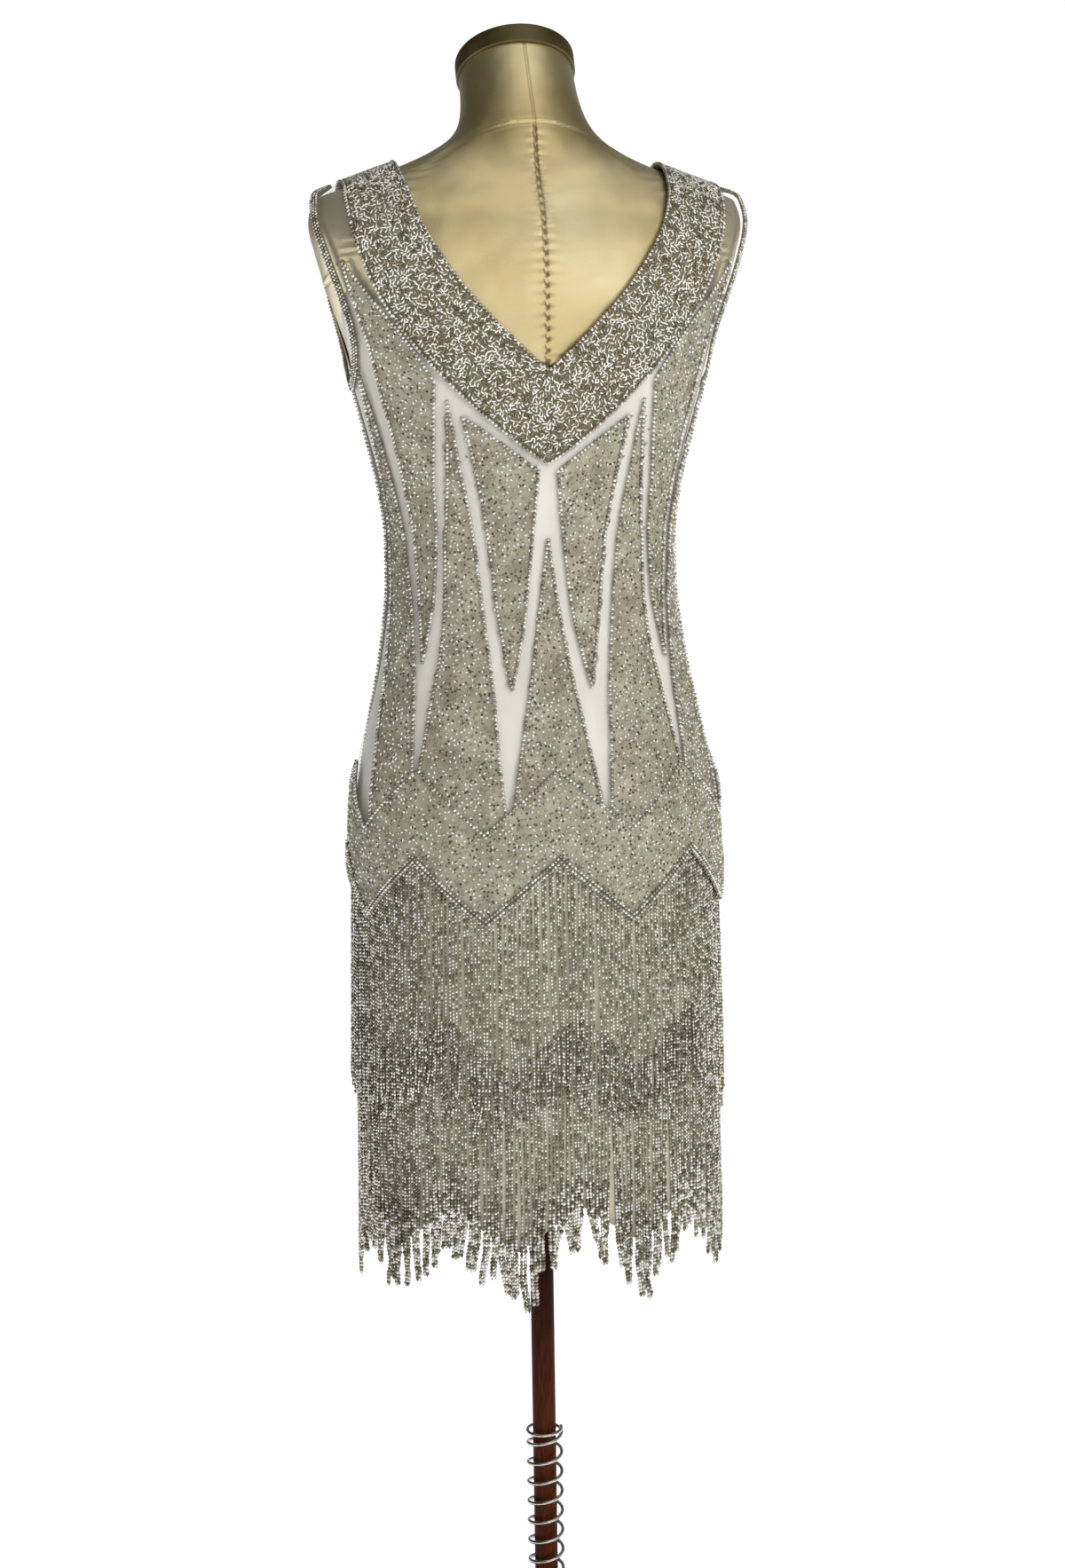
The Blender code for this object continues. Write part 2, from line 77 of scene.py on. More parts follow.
eye = Vector((VIEW_DISTANCE * math.sin(VIEW_TURN), -VIEW_DISTANCE * math.cos(VIEW_TURN), VIEW_HEIGHT))
aim = (Vector((0, 0, AIM_HEIGHT)) - eye).normalized()
level_right = Vector((math.cos(VIEW_TURN), math.sin(VIEW_TURN), 0))
level_up = level_right.cross(aim)
view_right = level_right * math.cos(VIEW_ROLL) - level_up * math.sin(VIEW_ROLL)
view_up = level_right * math.sin(VIEW_ROLL) + level_up * math.cos(VIEW_ROLL)
camera = new_object("camera", bpy.data.cameras.new("camera"))
camera.rotation_euler = Matrix((view_right, view_up, -aim)).transposed().to_euler()
camera.location = eye
camera.data.sensor_width = SENSOR
camera.data.lens = FOCAL_PIXELS / FRAME_HEIGHT * SENSOR
camera.data.shift_x = SHIFT_PIXELS / FRAME_HEIGHT
bpy.context.scene.camera = camera

# ----------------------------
# The stand's base: a round foot of cast iron with a hub for the pole, painted dark and baked. The stand
# stands on it and nothing holds it but its weight.

MM = 0.001
EVEN = (1, 1, 1)  # noise that isn't stretched


def linear(hex_colour):
    """An sRGB hex colour as linear red, green, blue and alpha."""
    shares = [int(hex_colour[i : i + 2], 16) / 255 for i in (1, 3, 5)]
    return (*[s / 12.92 if s <= 0.04045 else ((s + 0.055) / 1.055) ** 2.4 for s in shares], 1.0)


def add_node(tree, kind, settings=None, inputs=None, stops=()):
    """A node with its settings. An input gets a value, a socket or a node's first output."""
    node = tree.nodes.new(kind)
    for name, value in (settings or {}).items():
        setattr(node, name, value)
    for key, value in (inputs or {}).items():
        value = value.outputs[0] if isinstance(value, bpy.types.Node) else value
        if isinstance(value, bpy.types.NodeSocket):
            tree.links.new(value, node.inputs[key])
        else:
            node.inputs[key].default_value = value
    for k, (place, colour) in enumerate(stops):
        element = node.color_ramp.elements[k] if k < 2 else node.color_ramp.elements.new(place)
        element.position, element.color = place, linear(colour)
    return node


def new_finish(name, sockets, noise=None, stops=(), rise=0.0):
    """A material with its Principled sockets set. Returns it, its tree, shader, grain and colour.

    The grain is noise in the object's own coordinates, given as (features to the metre, detail, stretch), or
    else one random value for each bead. Stops colour it, and it stands up by rise metres at most.
    """
    finish = bpy.data.materials.new(name)
    finish.use_nodes = True
    tree = finish.node_tree
    shader = tree.nodes["Principled BSDF"]
    for key, value in sockets.items():
        shader.inputs[key].default_value = value
    if not stops:
        return finish, tree, shader, None, None
    if noise:
        per_metre, detail, stretch = noise
        place = add_node(tree, "ShaderNodeTexCoord").outputs["Object"]
        place = add_node(tree, "ShaderNodeMapping", inputs={"Vector": place, "Scale": stretch})
        grain = {"Vector": place, "Scale": per_metre, "Detail": detail}
        grain = add_node(tree, "ShaderNodeTexNoise", inputs=grain).outputs["Fac"]
    else:
        grain = add_node(tree, "ShaderNodeNewGeometry").outputs["Random Per Island"]
    colour = add_node(tree, "ShaderNodeValToRGB", inputs={"Fac": grain}, stops=stops).outputs["Color"]
    tree.links.new(colour, shader.inputs["Base Color"])
    if rise:
        raised = add_node(tree, "ShaderNodeBump", inputs={"Height": grain, "Distance": rise, "Strength": 1.0})
        tree.links.new(raised.outputs["Normal"], shader.inputs["Normal"])
    return finish, tree, shader, grain, colour


def add_piece(name, mesh, finish):
    """A finished piece of the object. It rides on the stand and gets the finish it is given, unless its mesh has
    one already.
    """
    piece = new_object(name, mesh)
    if not mesh.materials:
        mesh.materials.append(finish)
    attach(piece, "root")
    return piece


def turned(name, profile, sharp=35, steps=96):
    """A mesh from a closed outline of (radius, height) pairs, run from the axis down to the axis."""
    points, rings, faces = [], [], []
    for radius, height in profile:
        count = steps if radius else 1
        rings.append(range(len(points), len(points) + count))
        turns = [2 * math.pi * j / count for j in range(count)]
        points += [(radius * math.cos(t), radius * math.sin(t), height) for t in turns]
    for upper, lower in zip(rings, rings[1:]):
        for j in range(steps):
            k = (j + 1) % steps
            corners = [upper[j % len(upper)], lower[j % len(lower)]]
            corners += [lower[k % len(lower)], upper[k % len(upper)]]
            corners = list(dict.fromkeys(corners))
            if len(corners) > 2:
                faces.append(corners)
    mesh = bpy.data.meshes.new(name)
    mesh.from_pydata(points, [], faces)
    mesh.shade_smooth()
    mesh.set_sharp_from_angle(angle=math.radians(sharp))
    return mesh


BASE_RADIUS, BASE_THICKNESS = 0.165, 0.014
HUB_RADIUS, HUB_HEIGHT = 0.021, 0.046
POLE_RADIUS, POLE_FOOT, BORE_RADIUS = 0.011, 0.0123, 0.0113

# Baked enamel on a sand casting: dark and half gloss, with the casting's grain just showing through.
base_iron, *_ = new_finish(
    "cast_iron_enamel",
    {"Roughness": 0.42, "Metallic": 0.3},
    noise=(420, 3.0, EVEN),  # sand grain, about 2.4 mm
    stops=((0.3, "#2A2724"), (0.7, "#3B3631")),
    rise=0.3 * MM,
)
profile = [(0, POLE_FOOT - 0.3 * MM), (BORE_RADIUS, POLE_FOOT - 0.3 * MM), (BORE_RADIUS, HUB_HEIGHT)]
profile += [(HUB_RADIUS - 1.5 * MM, HUB_HEIGHT), (HUB_RADIUS, HUB_HEIGHT - 1.5 * MM)]
profile += [(HUB_RADIUS + out * MM, BASE_THICKNESS + up * MM) for out, up in ((1, 12), (3, 6), (8, 3))]
profile += [
    (BASE_RADIUS - back * MM, BASE_THICKNESS + up * MM)
    for back, up in ((70, 1), (14, 0), (3, -1.5), (0.9, -2.6), (0, -4.5))
]
profile += [(BASE_RADIUS, 2 * MM), (BASE_RADIUS - 2 * MM, 0), (0, 0)]
base = add_piece("stand_base_foot", turned("stand_base_foot", profile), base_iron)
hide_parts("stand_base")

# ----------------------------
# The pole: a turned beech rod stained mahogany and varnished, let into the hub. The form's chromed steel
# socket is clamped round its top and screwed to the form's underside.

FORM_BOTTOM = 0.660
POLE_TOP = FORM_BOTTOM - 0.3 * MM
SOCKET_RADIUS, SOCKET_HEIGHT = 0.030, 0.034

# Stained beech under varnish: red brown with short darker flecks along the grain and a hard clear gloss. Higher
# up, under the dress, it is painted nearly black: a painted shadow of the dress.
pole_wood, tree, shader, _, wood = new_finish(
    "varnished_stained_beech",
    {"Roughness": 0.5, "Coat Weight": 0.06, "Coat Roughness": 0.08, "Specular IOR Level": 0.03},
    noise=(900, 4.0, (1, 1, 0.06)),  # grain about 1 mm wide and 18 mm long
    stops=((0.30, "#2A1004"), (0.55, "#451C08"), (0.80, "#602C0E")),
    rise=0.05 * MM,
)
place = add_node(tree, "ShaderNodeTexCoord").outputs["Object"]
height = add_node(tree, "ShaderNodeSeparateXYZ", inputs={"Vector": place}).outputs["Z"]
# Painted shadow of the dress: from 0.28 m up to 0.41 m the wood's colour falls to a quarter of itself, and stays
# so above.
painted_dress_shadow = {"Value": height, "From Min": 0.28, "From Max": 0.41, "To Min": 1.0, "To Max": 0.25}
painted_dress_shadow = add_node(tree, "ShaderNodeMapRange", inputs=painted_dress_shadow)
wood = add_node(tree, "ShaderNodeVectorMath", {"operation": "SCALE"}, {0: wood, "Scale": painted_dress_shadow})
tree.links.new(wood.outputs["Vector"], shader.inputs["Base Color"])

profile = [(POLE_RADIUS, z) for z in (POLE_TOP, 0.45, 0.25, POLE_FOOT)]
profile = [(0, POLE_TOP), *profile, (0, POLE_FOOT)]
pole = add_piece("stand_pole_rod", turned("stand_pole_rod", profile), pole_wood)
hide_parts("stand_pole")

# Chrome plate on drawn steel: mirror bright, faintly brushed by handling.
chrome, tree, shader, rub, _ = new_finish(
    "chrome_plated_steel", {"Metallic": 1.0}, (300, 4.0, EVEN), ((0.3, "#B9B6B0"), (0.7, "#D8D6D1"))
)
rubbed = add_node(tree, "ShaderNodeMapRange", inputs={"Value": rub, "To Min": 0.08, "To Max": 0.2})
tree.links.new(rubbed.outputs["Result"], shader.inputs["Roughness"])

collar, foot = SOCKET_RADIUS * 0.6, POLE_TOP - SOCKET_HEIGHT
profile = [(BORE_RADIUS, POLE_TOP), (SOCKET_RADIUS - 0.5 * MM, POLE_TOP)]
profile += [(SOCKET_RADIUS, POLE_TOP - 0.5 * MM), (SOCKET_RADIUS, POLE_TOP - 3.5 * MM)]
profile += [(SOCKET_RADIUS - 0.5 * MM, POLE_TOP - 4 * MM), (SOCKET_RADIUS * 0.66, POLE_TOP - 5 * MM)]
profile += [(collar, POLE_TOP - 8 * MM), (collar, foot + 1 * MM), (collar - 1 * MM, foot)]
profile += [(BORE_RADIUS, foot), (BORE_RADIUS, POLE_TOP)]
socket = add_piece("stand_socket_flange", turned("stand_socket_flange", profile), chrome)
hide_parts("stand_socket")

# ----------------------------
# The spring: a loose compression spring of bright steel wire round the pole, its end coils closed. It
# stands on the hub and the pole slides through it.

SPRING_WIRE, SPRING_RADIUS = 3.5 * MM, 16.2 * MM
SPRING_PITCH, SPRING_TOP, WIRE_STEPS = 0.0198, 0.250, 32


def grid_faces(rows, columns, closed_round=False, faces_out=True):
    """Quads between rows of points, as indices into the rows laid end to end."""
    row, column = np.meshgrid(np.arange(rows - 1), np.arange(columns - (not closed_round)), indexing="ij")
    after = (column + 1) % columns
    corners = [row * columns + column, row * columns + after]
    corners += [(row + 1) * columns + after, (row + 1) * columns + column]
    quads = np.stack([c.ravel() for c in corners], axis=1)
    return quads if faces_out else quads[:, ::-1]


def mesh_of(name, points, faces, sharp=None):
    """A smooth mesh of numpy points and faces."""
    mesh = bpy.data.meshes.new(name)
    mesh.from_pydata(np.reshape(points, (-1, 3)).tolist(), [], [list(map(int, f)) for f in faces])
    mesh.shade_smooth()
    if sharp:
        mesh.set_sharp_from_angle(angle=math.radians(sharp))
    return mesh


def unit(vectors):
    return vectors / np.linalg.norm(vectors, axis=-1, keepdims=True)


def tube(name, path, radius, around_count=12):
    """A round wire along a path of points, with flat ends."""
    path = np.asarray(path)
    along = unit(np.gradient(path, axis=0))
    aside = unit(np.cross(along, (0, 0, 1)))
    above = np.cross(aside, along)
    turn = 2 * math.pi * np.arange(around_count) / around_count
    ring = aside[:, None] * np.cos(turn)[None, :, None] + above[:, None] * np.sin(turn)[None, :, None]
    points = path[:, None] + ring * radius
    faces = list(grid_faces(len(path), around_count, closed_round=True, faces_out=False))
    faces += [range(around_count), range(len(points) * around_count)[: -around_count - 1 : -1]]
    return mesh_of(name, points, faces, sharp=50)


low = HUB_HEIGHT + 0.3 * MM + SPRING_WIRE / 2
closed_rise = SPRING_WIRE + 0.5 * MM
open_turns = round((SPRING_TOP - low - 2 * closed_rise) / SPRING_PITCH)
turns = np.linspace(0, open_turns + 2, (open_turns + 2) * WIRE_STEPS + 1)
levels = np.cumsum([low, closed_rise, open_turns * SPRING_PITCH, closed_rise])
rise = np.interp(turns, [0, 1, open_turns + 1, open_turns + 2], levels)
turns = 2 * np.pi * turns
coil = np.stack([SPRING_RADIUS * np.cos(turns), SPRING_RADIUS * np.sin(turns), rise], axis=1)
mesh = tube("stand_spring_coil", coil, SPRING_WIRE / 2)
spring = add_piece("stand_spring_coil", mesh, chrome)
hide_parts("stand_spring")

# ----------------------------
# The torso: a padded form covered in gold leatherette, a soft metallic vinyl on a cloth back. It is drawn
# tight over the form and closed down the centre back by hand, which puckers the seam.

# The figure, by level. Columns: height, half width, depth behind, depth before, squareness.
FIGURE = np.array([
    (0.660, 0.1480, 0.104, 0.0980, 2.2),
    (0.740, 0.1580, 0.113, 0.1040, 2.2),
    (0.820, 0.1625, 0.117, 0.1060, 2.2),
    (0.860, 0.1610, 0.115, 0.1050, 2.2),
    (0.900, 0.1545, 0.109, 0.1020, 2.2),
    (0.940, 0.1455, 0.101, 0.0980, 2.2),
    (0.980, 0.1355, 0.092, 0.0940, 2.2),
    (1.020, 0.1285, 0.085, 0.0910, 2.2),
    (1.060, 0.1240, 0.081, 0.0900, 2.2),
    (1.100, 0.1235, 0.081, 0.0920, 2.2),
    (1.140, 0.1280, 0.085, 0.0980, 2.2),
    (1.180, 0.1370, 0.090, 0.1080, 2.2),
    (1.230, 0.1500, 0.096, 0.1145, 2.3),
    (1.270, 0.1600, 0.099, 0.1090, 2.5),
    (1.310, 0.1735, 0.099, 0.0950, 2.8),
    (1.345, 0.1840, 0.095, 0.0810, 3.0),
    (1.372, 0.1900, 0.088, 0.0700, 2.8),
    (1.390, 0.1865, 0.077, 0.0610, 2.5),
    (1.401, 0.1620, 0.068, 0.0540, 2.2),
    (1.410, 0.1380, 0.063, 0.0500, 2.0),
    (1.419, 0.1130, 0.059, 0.0480, 2.0),
    (1.427, 0.0930, 0.057, 0.0470, 2.0),
    (1.437, 0.0730, 0.056, 0.0480, 2.0),
])
# The neck above it. Columns: height, forward, half width, depth behind, depth before, tilt in degrees.
NECK = np.array([
    (1.437, 0.000, 0.0730, 0.0560, 0.0480, 0),
    (1.449, 0.004, 0.0605, 0.0560, 0.0560, 8),
    (1.463, 0.013, 0.0545, 0.0530, 0.0530, 15),
    (1.482, 0.025, 0.0515, 0.0510, 0.0510, 21),
    (1.5027, 0.038, 0.0505, 0.0505, 0.0505, 26),
])
HANG_LEVEL = 0.820  # below the hips the cloth hangs straight down
SEAM_PITCH = 9 * MM  # between two stitches of the back seam
SOFTNESS, SOFT_ROWS, SOFT_FROM = 11 * MM, 14, 1.24  # how far and from what height the padding rounds off
SOFT_WITHIN, BLEND_ROWS = (0.105, 0.145), 20  # from the centre line, and rows over which it sets in
ROW_STEP, FIGURE_TOP, NECK_ROWS = 1.8 * MM, FIGURE[-1, 0], 60
NECK_SEAM, RING_WIDTH = 1.452, 1.6 * MM  # the seam round the foot of the neck
RING_GROOVE, RING_RIDGE, RING_BOW = 1.2 * MM, 1.4 * MM, 0.25 / 0.06
GROOVE_DEPTH, GROOVE_WIDTH = 1.5 * MM, 1.3 * MM  # the back seam
PUCKER_DEPTH, PUCKER_WIDTH, PUCKER_GAP = 1.7 * MM, 3.8 * MM, 1.2 * MM
DENT_DEPTH, DENT_WIDTH, DENT_HEIGHT, DENT_DRIFT = 0.6 * MM, 15 * MM, 37 * MM, 21 * MM


def steady_curve(xs, ys):
    """A smooth curve through the points that never swings past them (monotone cubic)."""
    steps = np.diff(xs)
    slopes = np.diff(ys) / steps
    before, after = slopes[:-1], slopes[1:]
    inner = np.where(before * after > 0, 2 * before * after / (before + after + 1e-30), 0)
    tangents = np.concatenate([slopes[:1], inner, slopes[-1:]])

    def value(x):
        x = np.clip(x, xs[0], xs[-1])
        i = np.clip(np.searchsorted(xs, x) - 1, 0, len(steps) - 1)
        t, h = (x - xs[i]) / steps[i], steps[i]
        lower = ys[i] * (1 + 2 * t) * (1 - t) ** 2 + tangents[i] * h * t * (1 - t) ** 2
        return lower + ys[i + 1] * t * t * (3 - 2 * t) + tangents[i + 1] * h * t * t * (t - 1)

    return value


HALF_WIDTH, BACK_DEPTH, FRONT_DEPTH, SQUARENESS = (steady_curve(FIGURE[:, 0], c) for c in FIGURE.T[1:])


def section(z, is_behind, floor=HANG_LEVEL):
    """The figure's half width, depth and squareness at a height. Below floor it stays as it is there."""
    z = np.maximum(z, floor)
    return HALF_WIDTH(z), np.where(is_behind, BACK_DEPTH(z), FRONT_DEPTH(z)), SQUARENESS(z)


def swell(points, floor=HANG_LEVEL):
    """1 on the figure's surface, less inside it and more outside. Cloth hangs straight below floor."""
    x, y, z = np.moveaxis(points, -1, 0)
    half_width, depth, power = section(z, y < 0, floor)
    return ((abs(x) / half_width) ** power + (abs(y) / depth) ** power) ** (1 / power)


def slope(points, floor=HANG_LEVEL):
    step = 0.4 * MM
    each = [swell(points + a, floor) - swell(points - a, floor) for a in np.eye(3) * step]
    return np.stack(each, axis=-1) / (2 * step)


def travel(path):
    """How far each point of a path lies from its start, along it."""
    return np.concatenate([[0], np.cumsum(np.linalg.norm(np.diff(path, axis=0), axis=1))])


def at_distance(path, values, at):
    """What the values, one for each point of a path, are at distances along it."""
    return np.stack([np.interp(at, travel(path), v) for v in values.T], axis=-1)


def moved_out(points, out, floor=HANG_LEVEL):
    """Points of the figure's surface, moved out along its normal."""
    return points + unit(slope(points, floor)) * np.asarray(out)[..., None]


def settle(points, out, floor=HANG_LEVEL):
    """The figure's surface nearest to each point, moved out."""
    for _ in range(5):
        steepest = slope(points, floor)
        miss = (swell(points, floor) - 1) / (steepest**2).sum(axis=-1)
        points = points - steepest * miss[..., None]
    return moved_out(points, out, floor)


def around(angle, z, out, floor=HANG_LEVEL):
    """Points of level sections. Angle 0 is the centre back and 90 degrees the right side seam."""
    angle, z = np.broadcast_arrays(np.asarray(angle, float), np.asarray(z, float))
    half_width, depth, power = section(z, np.cos(angle) > 0, floor)
    reach = (abs(np.sin(angle)) ** power + abs(np.cos(angle)) ** power) ** (-1 / power)
    x, y = half_width * np.sin(angle) * reach, -depth * np.cos(angle) * reach
    return moved_out(np.stack([x, y, z], axis=-1), out, floor)


def ease(low, high, value):
    """0 at low, 1 at high, and smooth between."""
    share = np.clip((value - low) / (high - low), 0, 1)
    return share * share * (3 - 2 * share)


def wander(count, waves, seed):
    """A smooth closed random line of about plus or minus 1, for wrinkles and uneven hang."""
    draw = np.random.default_rng(seed)
    turn = 2 * np.pi * np.arange(count) / count
    total = sum(draw.normal() * np.sin(k * turn + draw.uniform(0, 6.3)) for k in waves)
    return total / np.sqrt(len(waves))


# Metallic vinyl on a cloth back: a soft gold sheen that runs from straw to brown, with a fine skin grain
# and slow dents where it is drawn over the padding.
gold_vinyl, tree, shader, *_ = new_finish(
    "gold_leatherette",
    {"Roughness": 0.32, "Metallic": 0.84, "Coat Weight": 0.8, "Coat Roughness": 0.3, "Coat IOR": 1.8},
    noise=(9, 3.0, EVEN),
    stops=((0.30, "#BBA66A"), (0.55, "#D0BE88"), (0.75, "#E0D2A4")),
)
place = add_node(tree, "ShaderNodeTexCoord").outputs["Object"]
skin = add_node(tree, "ShaderNodeTexNoise", inputs={"Vector": place, "Scale": 700, "Detail": 3.0})  # 1.4 mm
dents = add_node(tree, "ShaderNodeTexNoise", inputs={"Vector": place, "Scale": 16, "Detail": 2.0})  # 60 mm
relief = add_node(tree, "ShaderNodeMath", {"operation": "MULTIPLY_ADD"}, {0: skin, 1: 0.03, 2: dents})
relief = add_node(tree, "ShaderNodeBump", inputs={"Height": relief, "Distance": 4 * MM, "Strength": 1.0})
tree.links.new(relief.outputs["Normal"], shader.inputs["Normal"])

# Columns lie close together beside the back seam, where the puckers are.
fine = np.radians(np.concatenate([np.arange(0, 7, 0.5), np.arange(7, 16, 1), np.arange(16, 181, 4)]))
columns = np.concatenate([-fine[:0:-1], fine])[1:]
heights = np.concatenate([[FORM_BOTTOM + 0.1 * MM, 0.664], np.arange(0.672, 1.20, 0.012)])
heights = np.concatenate([heights, np.arange(1.20, FIGURE_TOP, ROW_STEP)])
rows = [around(columns, z, 0, floor=0) for z in heights]
neck = [steady_curve(NECK[:, 0], c) for c in NECK.T[1:]]
for z in np.linspace(FIGURE_TOP, NECK[-1, 0], NECK_ROWS):
    forward, half_width, behind, before, tilt = (curve(z) for curve in neck)
    depth = np.where(np.cos(columns) > 0, behind, before)
    lean, y = math.radians(float(tilt)), -depth * np.cos(columns)
    x = half_width * np.sin(columns)
    rows.append(np.stack([x, forward + y * math.cos(lean), z - y * math.sin(lean)], axis=-1))
rows = np.array(rows)
# Padding has no sharp bends: the dense rows are smoothed along their columns, but not on the shoulders.
soft = np.exp(-((np.arange(-SOFT_ROWS, SOFT_ROWS + 1) * ROW_STEP / SOFTNESS) ** 2) / 2)
first = np.searchsorted(heights, SOFT_FROM)
padded_rows = [rows[first - SOFT_ROWS : first], rows[first:], np.repeat(rows[-1:], SOFT_ROWS, axis=0)]
padded_rows = np.concatenate(padded_rows)
smoothed = sum(w * padded_rows[k : k + len(rows) - first] for k, w in enumerate(soft)) / soft.sum()
row = np.arange(len(smoothed))
blend = ease(0, BLEND_ROWS, row) * ease(0, SOFT_ROWS, row[::-1])
middle_back = 1 - ease(*SOFT_WITHIN, abs(rows[first:, :, 0]))
rows[first:] += (smoothed - rows[first:]) * (blend[:, None] * middle_back)[..., None]
centre_back = len(fine) - 2  # the column on the back seam
along_seam = travel(rows[:, centre_back])[:, None]
aside = rows[..., 0]
normals = np.roll(rows, -1, axis=1) - np.roll(rows, 1, axis=1)
normals = unit(np.cross(normals, np.gradient(rows, axis=0), axis=-1))
behind = np.cos(columns)[None, :] > 0
above_waist = ease(1.15, 1.22, rows[..., 2])
below_neck = 1 - ease(NECK_SEAM - 8 * MM, NECK_SEAM, rows[..., 2])
groove = -GROOVE_DEPTH * np.exp(-((aside / GROOVE_WIDTH) ** 2)) * (0.35 + 0.65 * below_neck)
pucker = np.cos(2 * np.pi * along_seam / SEAM_PITCH + 0.8 * np.sign(aside))
pucker = pucker * np.exp(-abs(aside) / PUCKER_WIDTH) * (1 - np.exp(-((aside / PUCKER_GAP) ** 2)))
push = (groove + PUCKER_DEPTH * pucker * below_neck) * above_waist * behind
ring_gap = (rows[..., 2] - NECK_SEAM + RING_BOW * aside**2) / RING_WIDTH
push = push - RING_GROOVE * np.exp(-(ring_gap**2)) + RING_RIDGE * np.exp(-((ring_gap - 1.5) ** 2))
# The vinyl is drawn less tight in the middle of the back: slow dents, mostly up and down.
drift = 1.6 * np.sin(rows[..., 2] / DENT_DRIFT)
drape = np.sin(aside / DENT_WIDTH + drift) * np.sin(rows[..., 2] / DENT_HEIGHT + 2)
push = push + DENT_DEPTH * drape * above_waist * below_neck * (1 - ease(0.08, 0.12, abs(aside)))
rows = rows + normals * push[..., None]
seam_line = rows[:, centre_back]
points = rows.reshape(-1, 3)
count = len(columns)
ends = [rows[0].mean(axis=0), rows[-1].mean(axis=0)]
faces = grid_faces(len(rows), count, closed_round=True).tolist()
for j in range(count):
    k = (j + 1) % count
    faces.append([len(points), k, j])
    faces.append([len(points) + 1, len(points) - count + j, len(points) - count + k])
cover = mesh_of("torso_cover", np.concatenate([points, ends]), faces, sharp=60)
torso = add_piece("torso_cover", cover, gold_vinyl)
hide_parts("form_torso")

# ----------------------------
# The back seam's stitches: waxed brown thread, one long stitch sunk between each two puckers, from the
# foot of the neck down to the point of the V.

STITCH_LENGTH, STITCH_WIDTH = 6.5 * MM, 0.8 * MM


def new_bead_tree(title, *more):
    """A tree with its inputs: what the beads lie on, more numbers, and the bead."""
    tree = bpy.data.node_groups.new(title, "GeometryNodeTree")
    numbers = [(name, "Float") for name in (*more, "Bead length", "Bead width")]
    numbers += [(name, "Int") for name in ("Sides", "Rings", "Seed")]
    for name, kind in (("Ground", "Geometry"), *numbers, ("Finish", "Material")):
        tree.interface.new_socket(name, in_out="INPUT", socket_type="NodeSocket" + kind)
    tree.interface.new_socket("Beads", in_out="OUTPUT", socket_type="NodeSocketGeometry")
    return tree, add_node(tree, "NodeGroupInput").outputs


def lay_beads(tree, given, points, facing, size=1.0, tip=0.0):
    """Ends a tree: a bead on each point, rolled at random and tipped over, all as one smooth plain mesh."""
    bead = {"Segments": given["Sides"], "Rings": given["Rings"], "Radius": 0.5}
    bead = add_node(tree, "GeometryNodeMeshUVSphere", inputs=bead)
    shape = {"X": given["Bead width"], "Y": given["Bead width"], "Z": given["Bead length"]}
    shape = add_node(tree, "ShaderNodeCombineXYZ", inputs=shape)
    scale = add_node(tree, "ShaderNodeVectorMath", {"operation": "SCALE"}, {0: shape, "Scale": size})
    spin = add_node(tree, "FunctionNodeRandomValue", {"data_type": "FLOAT"}, {"Seed": given["Seed"]})
    next(s for s in spin.inputs if s.enabled and s.name == "Max").default_value = 2 * math.pi
    spin = next(s for s in spin.outputs if s.enabled)
    roll = add_node(tree, "FunctionNodeAxisAngleToRotation", inputs={"Axis": (0, 0, 1), "Angle": spin})
    for turn in (roll, Euler((0, tip, 0))) if tip else (roll,):
        turn = {"Rotation": facing, "Rotate By": turn}
        facing = add_node(tree, "FunctionNodeRotateRotation", {"rotation_space": "LOCAL"}, turn)
    beads = {"Points": points, "Instance": bead, "Rotation": facing, "Scale": scale}
    beads = add_node(tree, "GeometryNodeInstanceOnPoints", inputs=beads)
    beads = add_node(tree, "GeometryNodeRealizeInstances", inputs={"Geometry": beads})
    beads = add_node(tree, "GeometryNodeSetShadeSmooth", inputs={"Geometry": beads})
    beads = add_node(tree, "GeometryNodeSetMaterial", inputs={"Geometry": beads, "Material": given["Finish"]})
    add_node(tree, "NodeGroupOutput", inputs={"Beads": beads})
    return tree


def grown(name, mesh, tree, finish, slot, seed, bead, facets, **more):
    """A piece of beads made by a tree on a mesh, turned into a plain mesh.

    Bead is a bead's length and width, and facets is how many sides and rings it has.
    """
    settings = dict(zip(("Bead length", "Bead width", "Sides", "Rings"), (*bead, *facets)))
    settings |= {"Seed": seed, "Finish": finish, **more}
    host = new_object(name + "_host", mesh)
    modifier = host.modifiers.new("beads", "NODES")
    modifier.node_group = tree
    for item in tree.interface.items_tree:
        if item.in_out == "INPUT" and item.name in settings:
            modifier[item.identifier] = settings[item.name]
    drawn = host.evaluated_get(bpy.context.evaluated_depsgraph_get())
    plain = bpy.data.meshes.new_from_object(drawn)
    host.modifiers.clear()
    bpy.data.objects.remove(host)
    plain.name = name
    return add_piece(name, plain, finish)


def points_mesh(name, points, along, size=1.0):
    """Bare points, each with the direction that its bead lies in and its size."""
    points = np.reshape(points, (-1, 3))
    mesh = bpy.data.meshes.new(name)
    mesh.vertices.add(len(points))
    mesh.vertices.foreach_set("co", points.astype(np.float32).ravel())
    directions = mesh.attributes.new("along", "FLOAT_VECTOR", "POINT")
    directions.data.foreach_set("vector", np.reshape(along, (-1, 3)).astype(np.float32).ravel())
    sizes = mesh.attributes.new("size", "FLOAT", "POINT")
    sizes.data.foreach_set("value", np.broadcast_to(size, len(points)).astype(np.float32))
    return mesh


# Beads on points: each lies along its point's direction, at its point's size.
tree, given = new_bead_tree("beads on points")
along = add_node(tree, "GeometryNodeInputNamedAttribute", {"data_type": "FLOAT_VECTOR"}, {"Name": "along"})
size = add_node(tree, "GeometryNodeInputNamedAttribute", {"data_type": "FLOAT"}, {"Name": "size"})
lie = add_node(tree, "FunctionNodeAlignRotationToVector", {"axis": "Z"}, {"Vector": along})
ON_POINTS = lay_beads(tree, given, given["Ground"], lie, size)

